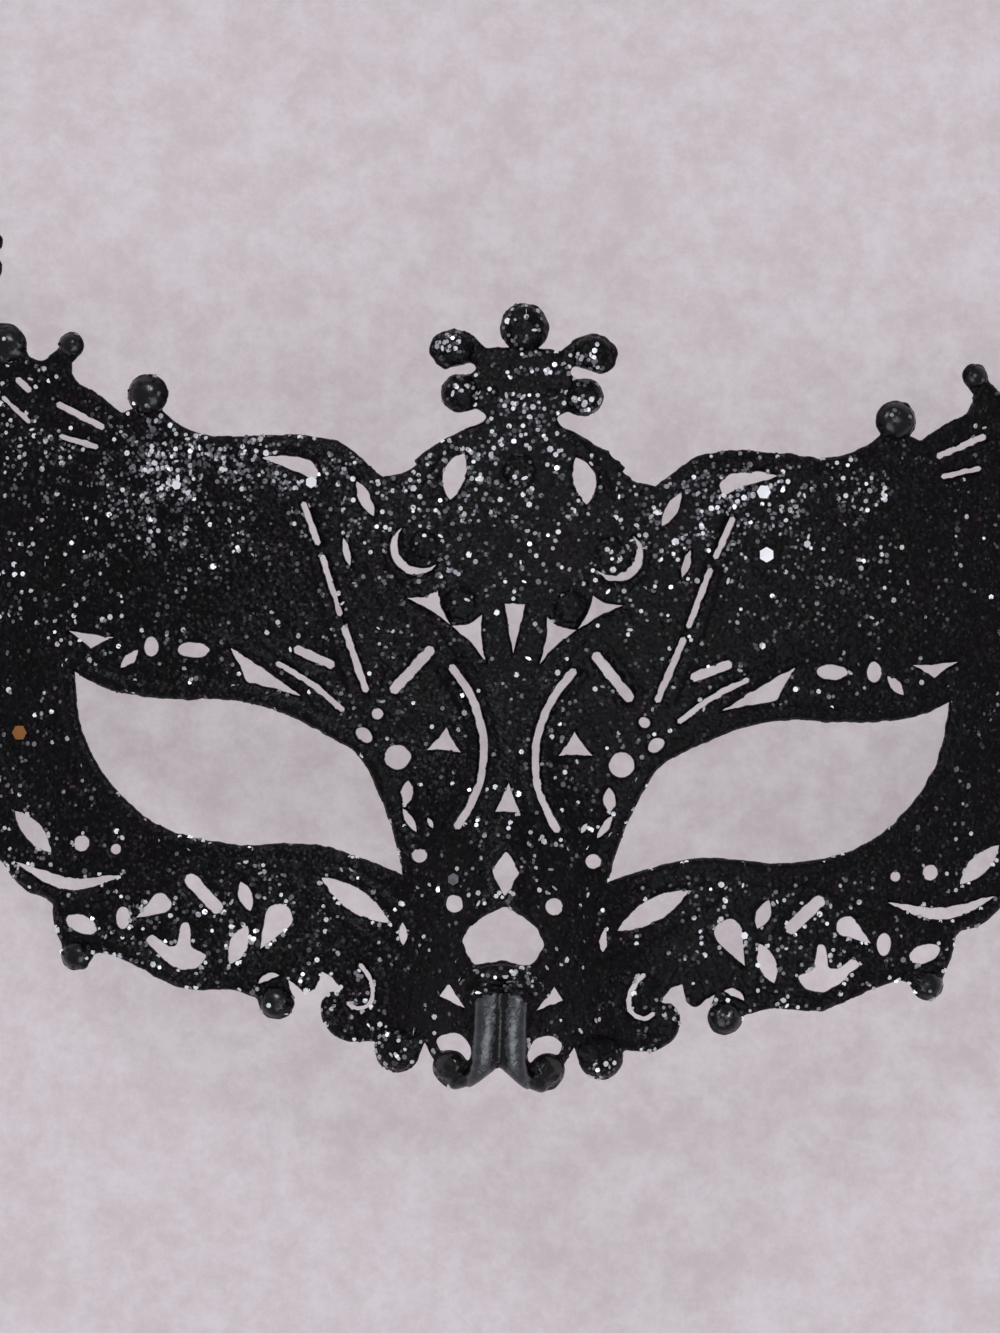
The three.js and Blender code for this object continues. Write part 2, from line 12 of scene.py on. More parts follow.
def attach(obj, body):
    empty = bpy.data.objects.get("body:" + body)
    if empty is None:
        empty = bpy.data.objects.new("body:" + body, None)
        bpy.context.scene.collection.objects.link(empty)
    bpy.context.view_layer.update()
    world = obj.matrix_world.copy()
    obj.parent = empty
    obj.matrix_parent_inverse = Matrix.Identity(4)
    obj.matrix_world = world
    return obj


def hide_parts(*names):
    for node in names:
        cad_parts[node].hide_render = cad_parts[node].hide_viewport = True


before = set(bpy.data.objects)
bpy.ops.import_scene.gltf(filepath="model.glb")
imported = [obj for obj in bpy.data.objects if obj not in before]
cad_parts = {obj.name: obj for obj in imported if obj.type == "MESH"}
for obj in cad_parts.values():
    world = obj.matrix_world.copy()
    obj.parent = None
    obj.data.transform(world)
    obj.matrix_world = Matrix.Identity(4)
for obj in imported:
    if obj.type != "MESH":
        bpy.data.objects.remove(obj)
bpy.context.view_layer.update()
rng = np.random.default_rng(7)

# Driving sizes, in millimetres on the drawing
SHEET = 2.0  # thickness of the sheet
BEND_RADIUS = 112.0  # bend of the sheet round the face
BROW_HEIGHT = 42.0  # front of the brow above the floor, on the midline
CROWN_LEAN = 0.0016  # how fast the crown leans back above the brow
CROWN_SPREAD = 45.0  # half width over which it leans back
CROWN_BASE_Y = 20.0  # where the lean starts
NOSE_RISE = 19.0  # how far the nose tip stands out
NOSE_START_Y = 8.0  # where the bridge of the nose leaves the brow
NOSE_TIP_Y = -48.0
NOSE_TUCK = 0.025  # how fast the nose turns back under its tip
NOSE_BRIDGE_SPREAD = 9.0  # half width of the nose at the bridge
NOSE_FOOT_SPREAD = 14.0  # half width of the nose at its tip
TIE_X, TIE_Y = 90.0, 3.0  # middle of the right hole for the tie
TIE_HOLE_RADIUS = 2.0
TIE_RING_RADIUS = 4.4
TIE_RING_RISE = 0.6
TIE_NARROWING = 0.78  # width by height of the hole and ring on the drawing, as the sheet slopes there
MIDDLE_Y = 7.238  # height on the drawing of the middle of the mask's box

# Fineness of the visible sheet
EDGE_STEP = 0.42  # spacing of points along edges
EDGE_ROWS = (0.13, 0.4)  # distances from the edges of two rows of points that follow them
ROW_CLEARANCE = 0.9  # share of that distance that every point of a row keeps from all edges
GRAIN_STEP = 0.52  # spacing of points inside the front
GRAIN_MARGIN = 0.62  # least distance of those points from an edge
GRAIN_JITTER = 0.22  # how far they are moved at random, as a share of their spacing
BACK_STEP = 2.6  # spacing of points inside the back
BACK_MARGIN = 0.8
BACK_JITTER = 0.05
POINTS_AT_A_TIME = 4000  # points tested together against a loop
TINY = 1e-9  # stands in for zero where zero won't do
GRID_BOTTOM, GRID_TOP, GRID_SIDE = -64, 78, 98  # reach of the inside points, a little past the outline
ROUTE_STEP = 0.3  # spacing of points along the middle line of a rib or groove
EDGE_ROUND = 0.85  # radius of the rounded edges
GRAIN_HEIGHT = 0.05  # height of the glitter grain
GRAIN_EASE = 0.4  # distance from an edge over which the grain grows to that height
GRAIN_AT_EDGE = 0.35  # share of the height at an edge
EDGE_CRUST = 0.2  # how far the glitter makes the edges wander
EYE_RIM_WIDTH = 2.6  # raised rim round each eye opening
EYE_RIM_RISE = 0.35

# Camera: straight down on the mask, turned as the photograph is
PIXEL = 0.16  # millimetres of the drawing per pixel of the photograph
PHOTO_TURN = math.radians(2.0)
PIVOT_X, PIVOT_Y = 511.5, 700.0  # pixel of the drawing's origin
PHOTO_WIDTH, PHOTO_HEIGHT = 1000, 1333
SENSOR_HEIGHT = 24.0
CAMERA_DISTANCE = 4.0  # metres above the height at which the scale is true
TRUE_HEIGHT = 0.025  # metres above the floor


def new_object(name, data):
    item = bpy.data.objects.new(name, data)
    bpy.context.scene.collection.objects.link(item)
    return item


def make_camera():
    dx = PHOTO_WIDTH / 2 - PIVOT_X
    dy = PIVOT_Y - PHOTO_HEIGHT / 2
    x = (dx * math.cos(PHOTO_TURN) - dy * math.sin(PHOTO_TURN)) * PIXEL
    y = (dx * math.sin(PHOTO_TURN) + dy * math.cos(PHOTO_TURN)) * PIXEL - MIDDLE_Y
    data = bpy.data.cameras.new("camera")
    data.sensor_fit = "VERTICAL"
    data.sensor_height = SENSOR_HEIGHT
    data.lens = SENSOR_HEIGHT * CAMERA_DISTANCE / (PHOTO_HEIGHT * PIXEL / 1000)
    data.clip_end = 50.0
    camera = new_object("camera", data)
    camera.location = (x / 1000, y / 1000, TRUE_HEIGHT + CAMERA_DISTANCE)
    camera.rotation_euler = (0, 0, PHOTO_TURN)
    bpy.context.scene.camera = camera


# Curves of the drawing
def catmull(points, samples=24):
    """Smooth line through points."""
    p = np.array(points, float)
    p = np.vstack([p[0], p, p[-1]])
    t = np.linspace(0, 1, samples, endpoint=False)[:, None]
    runs = []
    for a, b, c, d in zip(p[:-3], p[1:-2], p[2:-1], p[3:]):
        v0, v1 = (c - a) / 2, (d - b) / 2
        runs.append((2 * b - 2 * c + v0 + v1) * t**3 + (-3 * b + 3 * c - 2 * v0 - v1) * t**2 + v0 * t + b)
    return np.vstack(runs + [p[-1:]])


def spaced(line, step):
    """Points evenly spaced along a line."""
    length = np.concatenate([[0], np.cumsum(np.hypot(*np.diff(line, axis=0).T))])
    at = np.linspace(0, length[-1], max(2, round(length[-1] / step)) + 1)
    return np.column_stack([np.interp(at, length, line[:, 0]), np.interp(at, length, line[:, 1])])


def curve(points):
    return spaced(catmull(points), EDGE_STEP)


def straight(points):
    return spaced(np.array(points, float), EDGE_STEP)


def arc(x, y, radius, start, end, up_radius=None):
    """Arc of a circle or an upright ellipse, in degrees anticlockwise from +X."""
    up_radius = up_radius or radius
    count = max(4, round(abs(math.radians(end - start)) * radius / EDGE_STEP))
    a = np.radians(np.linspace(start, end, count + 1))
    return np.column_stack([x + radius * np.cos(a), y + up_radius * np.sin(a)])


def scallop(start, end, bulge):
    """Shallow bow between two points, bulging to the right of the way it runs."""
    (x0, y0), (x1, y1) = start, end
    length = math.hypot(x1 - x0, y1 - y0)
    t = np.linspace(0, 1, round(length / EDGE_STEP))
    out = 4 * bulge * t * (1 - t) / length
    return np.column_stack([x0 + (x1 - x0) * t + (y1 - y0) * out, y0 + (y1 - y0) * t - (x1 - x0) * out])


def band(line, width_at):
    """Closed loop round a line, whose width depends on the distance from its start and on its length."""
    line = spaced(line, EDGE_STEP * 0.8)
    along = np.concatenate([[0], np.cumsum(np.hypot(*np.diff(line, axis=0).T))])
    d = np.gradient(line, axis=0)
    d /= np.hypot(d[:, 0], d[:, 1])[:, None]
    half = width_at(along, along[-1])[:, None] / 2
    across = np.column_stack([d[:, 1], -d[:, 0]]) * half
    return np.vstack([line + across, (line - across)[::-1][1:-1]])


def round_width(width):
    def width_at(s, length):
        near = np.minimum(np.minimum(s, length - s), width / 2)
        return width * np.sqrt(np.maximum(0.0, 1 - (1 - 2 * near / width) ** 2))

    return width_at


def pointed_width(width):
    return lambda s, length: width * np.sin(math.pi * s / length) ** 0.8


def slot(x0, y0, x1, y1, width):
    return band(straight([(x0, y0), (x1, y1)]), round_width(width))


def bent_slot(points, width):
    return band(catmull(points), round_width(width))


def leaf(x0, y0, x1, y1, width):
    return band(straight([(x0, y0), (x1, y1)]), pointed_width(width))


def bent_leaf(points, width):
    return band(catmull(points), pointed_width(width))


def crescent(x, y, radius, start, end, width):
    return band(arc(x, y, radius, start, end), pointed_width(width))


def oval(x, y, radius, up_radius=None, turn=0):
    ring = arc(0, 0, radius, 0, 360, up_radius)[:-1]
    c, s = math.cos(math.radians(turn)), math.sin(math.radians(turn))
    return np.column_stack([x + ring[:, 0] * c - ring[:, 1] * s, y + ring[:, 0] * s + ring[:, 1] * c])


def drop(tail_x, tail_y, head_x, head_y, radius):
    """Drop with a pointed tail and a round head."""
    turn = math.degrees(math.atan2(tail_y - head_y, tail_x - head_x))
    head = arc(head_x, head_y, radius, turn + 60, turn + 300)
    tail = [(tail_x, tail_y)]
    return np.vstack([straight(tail + [head[0]])[:-1], head, straight([head[-1]] + tail)[1:-1]])


def three_corner(corners, hollow):
    """Hole whose sides bow in towards its middle by a share of their distance from it."""
    corners = np.array(corners, float)
    middle = corners.mean(0)
    sides = []
    for a, b in zip(corners, np.roll(corners, -1, axis=0)):
        side = (a + b) / 2
        sides.append(spaced(catmull([a, side + (middle - side) * hollow, b]), EDGE_STEP)[:-1])
    return np.vstack(sides)


def polygon(points):
    """Closed loop through points, its corners slightly rounded."""
    loop = straight(list(points) + [points[0]])[:-1]
    for _ in range(2):
        loop = (np.roll(loop, 1, axis=0) + 2 * loop + np.roll(loop, -1, axis=0)) / 4
    return loop


def across_midline(points):
    """Closed loop from its left half, which starts and ends on the midline."""
    return polygon(points + [(-x, y) for x, y in points[-2:0:-1]])


def mirrored(loop):
    return (loop * (-1, 1))[::-1]


def square_to(loop):
    """Direction square to a loop at each of its points."""
    step = np.roll(loop, -1, axis=0) - np.roll(loop, 1, axis=0)
    return np.column_stack([step[:, 1], -step[:, 0]]) / np.hypot(step[:, 0], step[:, 1])[:, None]


# Balls that end the scrolls: centre and radius of the lobe each stands on
CROWN_BALL = (0, 59.4, 3.9)
UPPER_LOBE = (-11, 55.5, 3.3)
LOWER_LOBE = (-9.9, 48.7, 3.1)
TIP_BALL = (-90, 74, 2.6)
BROW_BALL = (-59.9, 46.8, 3.25)
STALK_BALL = (-72.5, 54.4, 2.1)
WING_BALL = (-83.2, 54.2, 3.4)
CHEEK_BALL = (-68.2, -43.3, 2.5)
CURL_BALL = (-35.8, -49.5, 2.8)
FOOT_BALL = (-16.2, -56.3, 3.6)
VOLUTE = (-7.7, -58.6, 2.8)
VOLUTE_LOBE = (-7, -58.5, 3.5)
GLITTERED_BALLS = [CROWN_BALL, UPPER_LOBE, LOWER_LOBE, TIP_BALL, FOOT_BALL]
SMOOTH_BALLS = [BROW_BALL, STALK_BALL, WING_BALL, CHEEK_BALL, CURL_BALL]
BALL_INSET = 0.3
BALL_HEIGHT = 0.62  # height of a ball as a share of its lobe's radius


def make_outline():
    """The left half anticlockwise from the top of the crown to the notch under the nose, and its mirror."""
    crown = [
        arc(*CROWN_BALL, 90, 235),
        [(-6, 56)],
        arc(UPPER_LOBE[0], UPPER_LOBE[1], 4.1, 30, 250, UPPER_LOBE[2]),
        curve([(-9.8, 53.2), (-8.2, 53.5), (-7.5, 52.6), (-8.6, 51.6)]),
        arc(*LOWER_LOBE, 105, 285),
        curve([(-7.2, 46.3), (-5.6, 45.2), (-6.4, 44), (-8.5, 43.1)]),
    ]
    brow = [
        curve([(-8.5, 43.1), (-12, 41.2), (-15, 39.2), (-16.9, 37.6)]),
        curve([(-16.4, 37), (-18.4, 35.7), (-21.8, 34.9)]),
        curve([(-21.8, 34.9), (-25, 37.5), (-28.5, 40), (-34, 41.1), (-41, 40.9), (-49, 40.5),
               (-54, 41.9), (-57, 44)]),
    ]
    wing_top = [
        arc(*BROW_BALL, -44, 225),
        curve([(-64, 43.8), (-68, 46.7), (-71.5, 48.7), (-72.3, 51.5)]),
        arc(*STALK_BALL, -50, 195),
        curve([(-76.3, 52.2), (-77.8, 51.8), (-79.3, 52.4)]),
        arc(*WING_BALL, -10, 205),
        [(-87.6, 51.6)],
    ]
    tip = [
        [(-88, 61)],
        arc(-86.2, 66.3, 2.1, -105, 60),
        [(-88.2, 68.4)],
        arc(-86.4, 70.6, 2.3, -60, 110, 1.9),
        arc(*TIP_BALL, -35, 215),
        arc(-93.6, 70.6, 2.2, 70, 240, 1.9),
        [(-91.8, 68.4)],
        arc(-93.4, 66.3, 2, 115, 285),
    ]
    side = [
        scallop((-92.3, 61.5), (-93, 38), 3.4),
        scallop((-93, 38), (-93, 10.5), 3.1),
        scallop((-93, 10.5), (-91, -15), 3.9),
        scallop((-91, -15), (-80.5, -29), 2.2),
    ]
    cheek = [
        curve([(-80.5, -29), (-79, -31.2), (-76.6, -33.4), (-73.4, -34.5)]),
        curve([(-72.4, -35.4), (-72.1, -38), (-70.9, -41.2)]),
        arc(*CHEEK_BALL, 160, 338),
        curve([(-65.2, -43.2), (-63.5, -42.8), (-60, -44), (-54, -46.8), (-50, -48), (-43, -47.9),
               (-39, -49)]),
    ]
    curls = [
        arc(*CURL_BALL, 182, 392),
        curve([(-34.1, -45.8), (-32.9, -46.6), (-31.2, -47.9), (-29.6, -47.1), (-28.8, -44.3)]),
        curve([(-27, -45.2), (-25.5, -47.2), (-27.2, -47.5)]),
        curve([(-27.2, -47.5), (-28.7, -49.6), (-27.6, -53.3), (-24.4, -55.2), (-20.2, -55.1)]),
        arc(*FOOT_BALL, 165, 350),
        [(-11.9, -54.8)],
        arc(*VOLUTE_LOBE, 165, 285),
        curve([(-6.1, -61.9), (-3.7, -60.9), (-1.4, -59.1), (0, -58.3)]),
    ]
    half = np.vstack([np.array(run, float) for run in crown + brow + wing_top + tip + side + cheek + curls])
    whole = np.vstack([half, mirrored(half)[1:-1]])
    return straight(np.vstack([whole, whole[:1]]))[:-1]


def make_eye():
    """Almond opening with a sharp outer corner and a corner low beside the nose."""
    upper = curve([(-70.1, 2.1), (-66, 0), (-60, -1.4), (-52, -1.8), (-45, -1.6), (-37, -3.2), (-28, -7.3),
                   (-24, -9.9), (-21, -15), (-18, -22.3), (-16.4, -28.4)])
    lower = curve([(-16.4, -28.4), (-20, -27), (-27, -24.8), (-33, -24), (-44, -24.5), (-54, -22.6),
                   (-60.8, -18.4), (-66.3, -12), (-69, -5.5), (-70.1, 2.1)])
    return np.vstack([upper[:-1], lower[:-1]])


def make_lace():
    """Pierced pattern of the left half, from the wing in to the nose and down to the cheek."""
    wing = [
        slot(-74.6, 45, -66.5, 41.2, 1),
        slot(-74, 39.8, -67.5, 38.1, 0.8),
        slot(-81.3, 48.9, -78.8, 46.7, 1),
        slot(-83.5, 45.9, -78.7, 41.7, 0.7),
        slot(-91, 50.5, -87.4, 44.2, 1.2),
        leaf(-90.4, 34, -88.4, 22, 2.4),
        leaf(-88.6, -5, -85.6, -14, 2.2),
        oval(-TIE_X, TIE_Y, TIE_HOLE_RADIUS * TIE_NARROWING, TIE_HOLE_RADIUS),
    ]
    brow = [
        polygon([(-41.4, 37.3), (-38, 36.1), (-34.4, 34.8), (-32.6, 33.7), (-31.9, 35.5), (-33.4, 37.2),
                 (-38, 37.8)]),
        leaf(-25.9, 34, -23, 28.6, 2),
        slot(-34.4, 30.5, -31.6, 23.6, 0.9),
        slot(-31.1, 22.2, -27.7, 12.4, 0.9),
        slot(-27.2, 11, -23.1, 0.4, 1.1),
        leaf(-27.7, 24.9, -26.5, 20.5, 1.1),
        bent_leaf([(-8.9, 39), (-10.4, 35.6), (-10.9, 31.6)], 3.6),
        crescent(-15.6, 24, 4, 135, 315, 1.3),
        three_corner([(-17.2, 15.7), (-12.4, 17.1), (-10.2, 11.7)], 0.3),
        three_corner([(-9.9, 11.5), (-5.2, 13.4), (-4.3, 5.9)], 0.25),
    ]
    bridge = [
        slot(-19.2, 0.5, -12.8, 8, 1.6),
        bent_slot([(-10, 5.3), (-6.5, 0.4), (-4.3, -6), (-4.4, -12.5), (-6, -17), (-8.2, -20.8)], 1.2),
        oval(-17.9, -9.7, 2),
        oval(-23.3, -6.4, 1.4, 1, -40),
        oval(-21.3, -2.9, 0.9),
        three_corner([(-10.2, -4.7), (-13.2, -8.4), (-7.8, -8.6)], 0.15),
        leaf(-16, -13.4, -16.3, -17.3, 1.9),
        leaf(-16.7, -17.9, -14.4, -21.5, 1.3),
        leaf(-12.7, -19.2, -11.8, -20.8, 0.8),
        oval(-13.8, -25.2, 1.15),
    ]
    over_eye = [
        three_corner([(-71.3, 8.6), (-64, 7.8), (-67.6, 5.9)], 0.1),
        oval(-57.9, 6.5, 1.15, 1.6),
        leaf(-62.7, 3, -60, 5.9, 1.5),
        oval(-51.1, 6.2, 2.5, 1.2),
        polygon([(-45.3, 6.9), (-40, 3.7), (-36.5, 1.4), (-33.4, -0.6), (-37, 0.3), (-42.4, 1.4),
                 (-43.2, 3.6)]),
        bent_slot([(-37.8, 4.7), (-31.8, 1.4), (-26.6, -2.7)], 0.85),
        slot(-35, 7.1, -28.4, 4.4, 1.4),
    ]
    cheek = [
        oval(-67.6, -38.3, 2.6, 1.4, -20),
        bent_leaf([(-78.6, -28.8), (-70, -31.9), (-61.4, -30.3)], 1.9),
        leaf(-79, -20.6, -72.9, -27, 3),
        oval(-68, -25.3, 1.25),
        oval(-62.4, -26.1, 0.8),
        drop(-58.8, -36.9, -54.9, -34.4, 1.65),
        oval(-60.9, -37, 1.15, 1.8),
        polygon([(-57.3, -40.4), (-54.2, -43.3), (-51.4, -45), (-48.8, -44.7), (-47.1, -42.5), (-49.8, -41.4),
                 (-50.2, -37.2), (-51.5, -37.4), (-52.1, -41.2), (-53.7, -41.2), (-56, -39.3)]),
        slot(-50.9, -29.8, -45.2, -35.5, 2.1),
        leaf(-42.2, -30.5, -40.5, -35.1, 2.2),
        leaf(-40.9, -37.5, -43.5, -43.7, 2.9),
        drop(-38.7, -41.1, -35.9, -36, 2.2),
        leaf(-29.3, -29.4, -18.2, -36.1, 3.6),
    ]
    nose_side = [
        crescent(-36, -48.6, 3.4, 145, 82, 1.1),
        bent_slot([(-22.8, -42.8), (-20.7, -45.6), (-20.7, -48.8), (-22.8, -50), (-24.6, -49)], 0.7),
        leaf(-16, -35.9, -15.9, -39.6, 1.4),
        oval(-7.9, -32.6, 1.4),
        three_corner([(-9.8, -47.4), (-8.4, -45.3), (-5.7, -49.1)], 0),
        polygon(np.vstack([arc(-7.6, -56.2, 3.1, 145, -25), arc(*VOLUTE, 20, 125)])),
    ]
    return wing + brow + bridge + over_eye + cheek + nose_side


def make_midline():
    """Holes on the midline: two triangles, an onion and a pear."""
    onion = [(0, -23.9), (-0.8, -25), (-2.3, -27.2), (-1, -29.5), (0, -31.3)]
    pear = [(0, -32.8), (-3, -34.3), (-5.4, -36.2), (-6.6, -38.6), (-5.4, -41), (-4.2, -42.2), (0, -41.2)]
    return [
        three_corner([(-1.6, 15.3), (1.6, 15.3), (0, 7.5)], 0),
        three_corner([(0, -13.2), (-1.95, -17.8), (1.95, -17.8)], 0.05),
        across_midline(onion),
        across_midline(pear),
    ]


# Form of the sheet
def front_height(x, y):
    """Height of the sheet's front above the floor at a point of the drawing."""
    bend = x * x / (2 * BEND_RADIUS)
    lean_y = np.maximum(0, y - CROWN_BASE_Y)
    lean = CROWN_LEAN * lean_y**2 * np.exp(-((x / CROWN_SPREAD) ** 2))
    down = np.clip((NOSE_START_Y - y) / (NOSE_START_Y - NOSE_TIP_Y), 0, 1)
    under = np.maximum(0, NOSE_TIP_Y - y)
    rise = NOSE_RISE * down * down * (3 - 2 * down) - NOSE_TUCK * under * under
    spread = NOSE_BRIDGE_SPREAD + (NOSE_FOOT_SPREAD - NOSE_BRIDGE_SPREAD) * down
    return BROW_HEIGHT - bend - lean + rise * np.exp(-((x / spread) ** 2))


def normals_of(height, x, y, e=0.05):
    """Outward direction of a surface given by its height."""
    slope_x = (height(x + e, y) - height(x - e, y)) / (2 * e)
    slope_y = (height(x, y + e) - height(x, y - e)) / (2 * e)
    n = np.column_stack([-slope_x, -slope_y, np.ones_like(slope_x)])
    return n / np.linalg.norm(n, axis=1)[:, None]


def patch(x, y, cx, cy, half_x, half_y, power_x=2, power_y=2):
    """1 at a place of the drawing, fading softly round it, with steeper sides for higher powers."""
    return np.exp(-(((x - cx) / half_x) ** power_x) - ((y - cy) / half_y) ** power_y)


def fade(value, start, length):
    """0 up to start, then evenly up to 1 over length."""
    return np.clip((value - start) / length, 0, 1)


def nearness(x, y, points, half_width):
    """1 on a curve of the drawing, falling to 0 at half_width from it."""
    line = spaced(catmull(points), ROUTE_STEP)
    low, high = line.min(0) - half_width, line.max(0) + half_width
    close = (x > low[0]) & (x < high[0]) & (y > low[1]) & (y < high[1])
    distance = np.min(np.hypot(x[close][:, None] - line[:, 0], y[close][:, None] - line[:, 1]), axis=1)
    share = np.zeros(len(x))
    share[close] = np.maximum(0, 1 - (distance / half_width) ** 2)
    return share


def dome_rise(x, y, cx, cy, radius, height):
    r = np.hypot(x - cx, y - cy) / radius
    return height * np.sqrt(np.maximum(0, 1 - r**2))


def lobe_rise(x, y, lobe):
    """Dome that stands on a lobe of the outline."""
    cx, cy, radius = lobe
    return dome_rise(x, y, cx, cy, radius - BALL_INSET, BALL_HEIGHT * radius)


def ball_rise(balls, x, y):
    return np.max([lobe_rise(-np.abs(x), y, ball) for ball in balls], axis=0)


# The nose foot: two columns under a collar of two bands, with a volute on each side
COLUMN_Y = [-59.7, -57, -52, -45]
COLUMN_X = [3.3, 2.8, 2.55, 2.55]  # crest of the right column at those heights
COLUMN_HEIGHT = 1.5
COLUMN_INNER = 2.6  # from a crest to the groove between the columns
COLUMN_OUTER = 1.45  # from a crest to the outside
HIGHLIGHT_RISE = 0.6  # height on the columns above which they take a lighter bluish, glossier plastic that is a painted highlight; the groove between them keeps the plain black, which paints its shade
BARE_COLUMN, BARE_VOLUTE, BARE_BALL = 0.2, 0.25, 0.3  # heights above which their plastic is bare
BARE_FOOT = (4, -60, 6, 5)  # middle and half sizes of the end of the nose foot, whose edges have no crust
COLLAR = [(-4.6, -45.8), (-2.6, -44), (0, -43.4), (2.6, -44), (4.6, -45.8)]
COLLAR_HALF_WIDTH, COLLAR_RISE = 1.5, 1.8
LOWER_BAND = [(-3.9, -47.3), (-2, -46.1), (0, -45.7), (2, -46.1), (3.9, -47.3)]
LOWER_BAND_HALF_WIDTH, LOWER_BAND_RISE = 0.75, 1.75
SPIRAL_TURNS, SPIRAL_START, SPIRAL_WIDTH, SPIRAL_DEPTH = 1.9, 0.3, 0.16, 0.5
VOLUTE_FOOT = [(-3.4, -58.8), (-4.6, -60.2), (-6.6, -61)]
VOLUTE_FOOT_HALF_WIDTH, VOLUTE_FOOT_RISE = 1.1, 1.2


def columns_rise(x, y):
    """Two columns, round outside and flat on top, with a sharp groove between them."""
    across = np.abs(x) - np.interp(y, COLUMN_Y, COLUMN_X)
    inside = 1 - np.clip(-across / COLUMN_INNER, 0, 1) ** 2.2
    outside = (1 - np.clip(across / COLUMN_OUTER, 0, 1) ** 2) ** 0.6
    return COLUMN_HEIGHT * inside * outside * (y < COLUMN_Y[-1])


def volute_rise(x, y):
    """Domes cut by a spiral groove, and the low foot that runs from each to the columns."""
    cx, cy, lobe = VOLUTE
    u = -np.abs(x)
    dome = lobe_rise(u, y, VOLUTE)
    r = np.hypot(u - cx, y - cy) / (lobe - BALL_INSET)
    turn = np.arctan2(y - cy, cx - u) / (2 * math.pi)
    from_groove = (r * SPIRAL_TURNS + turn + SPIRAL_START) % 1 - 0.5
    groove = SPIRAL_DEPTH * np.exp(-(from_groove / SPIRAL_WIDTH) ** 2) * (r > 0.12)
    foot = VOLUTE_FOOT_RISE * nearness(u, y, VOLUTE_FOOT, VOLUTE_FOOT_HALF_WIDTH) ** 0.6
    return np.maximum(foot, dome - groove * (dome > 0))


# Low relief of the left half: routes of ribs and grooves with half width and height, and round bosses
FLAT_RISE = 0.05  # height of the raised forms under which the low relief shows
RIBS = [
    ([(-48, 8.9), (-41, 6), (-34, 2.2), (-27.4, -1.6)], 0.9, 0.35),
    ([(-41, 8.4), (-34.6, 4.6), (-28.2, 0.6)], 0.8, 0.3),
    ([(-36, 31), (-32.6, 23), (-29.6, 12), (-25.4, 0.4)], 0.9, 0.35),
    ([(-32.7, 31.4), (-29.8, 23.6), (-26.4, 12.4), (-22.2, 1)], 0.9, 0.35),
    ([(-20.4, 2), (-14.8, 9)], 0.8, 0.3),
    ([(-17.6, -0.2), (-12, 6.6)], 0.8, 0.3),
    ([(-8.6, 6.2), (-5.1, 0.7), (-2.9, -6), (-3, -12.4), (-4.6, -17)], 0.9, 0.4),
    ([(-11.4, 4.5), (-8, -0.6), (-5.9, -6.2), (-6, -12.2), (-7.4, -16.6), (-9.6, -20.6)], 0.9, 0.4),
    ([(-21, 35.4), (-15.4, 33.2), (-12.8, 36.8), (-9, 42)], 0.9, 0.4),
    ([(-20.8, 25.4), (-19.6, 20.4), (-15.6, 18.2), (-11.6, 19.6)], 0.9, 0.35),
    ([(-17.9, 14.3), (-12.9, 12.4), (-10.4, 9.6), (-5.6, 3.4)], 0.8, 0.3),
    ([(-56, 40.6), (-48, 39.2), (-40, 39.4), (-33, 38.9), (-27, 36.6), (-23.6, 31)], 1, 0.4),
    ([(-79, 44), (-72, 43), (-64, 40.4)], 0.9, 0.35),
    ([(-79, 40.6), (-71, 37.4), (-64, 36.6)], 0.9, 0.35),
    ([(-88, 42), (-80, 38), (-70, 34), (-60, 30), (-52, 30.6)], 1.1, 0.3),
    ([(-86.4, 33), (-85.6, 20), (-84, 8), (-83, -6), (-78, -17)], 1.1, 0.35),
    ([(-78, -31), (-70, -34.4), (-62, -33.4), (-55, -31.4), (-46, -28), (-34, -27.4)], 1, 0.4),
    ([(-64, -41), (-58, -42.6), (-52, -46.4), (-44, -46), (-37, -44.6)], 0.8, 0.3),
    ([(-46.6, -29.6), (-42.4, -36), (-40, -45)], 0.8, 0.35),
    ([(-34, -30), (-28, -34), (-20, -39.6), (-14, -43.6)], 1, 0.4),
    ([(-31, -27.6), (-24, -29), (-16.4, -34.6), (-12, -42)], 1, 0.4),
    ([(-28, -51), (-26.6, -53), (-22.6, -53), (-19.6, -50.4), (-18.9, -46.6), (-20.6, -42.6)], 1, 0.45),
    ([(-12.4, -28), (-11.6, -33), (-10, -39), (-7, -43.4)], 0.9, 0.4),
    ([(-55.4, 26.5), (-51, 30.6), (-47.8, 36.4)], 0.7, -0.35),
    ([(-31, 25.6), (-28.9, 25.6)], 1.1, -0.4),
    ([(-37.6, 21.6), (-37, 20.2)], 1.2, -0.4),
    ([(-61.4, 11.6), (-60.4, 11.2)], 1.1, -0.35),
    ([(-18.2, -51.9), (-16.5, -52.6), (-16.4, -54), (-18, -55.5), (-17.5, -57.1)], 0.6, -0.45),
    ([(-6.6, 51), (-3.4, 50), (0, 49.7)], 1, -0.8),
    ([(-5.8, 54.8), (-3, 54.1), (0, 53.9)], 0.9, -0.7),
]
BOSSES = [(-8.8, 15.2, 2.6), (-14.8, 24.2, 2.3), (-23.2, -44.6, 1.6), (0, 36.6, 2.6), (-4.4, 50, 1.4)]
BOSS_HEIGHT = 0.35  # height of a boss as a share of its radius
MOAT_DEPTH = 0.3  # groove round each boss
MOAT_RADIUS, MOAT_HALF_WIDTH = 1.12, 0.16  # as shares of the boss's radius


def relief(x, y):
    """Height of the ribs, grooves and bosses."""
    u = -np.abs(x)
    rise = sum(height * nearness(u, y, route, half_width) for route, half_width, height in RIBS)
    for cx, cy, radius in BOSSES:
        r = np.hypot(u - cx, y - cy) / radius
        rise = rise + dome_rise(u, y, cx, cy, radius, BOSS_HEIGHT * radius)
        rise = rise - MOAT_DEPTH * np.maximum(0, 1 - ((r - MOAT_RADIUS) / MOAT_HALF_WIDTH) ** 2)
    return rise


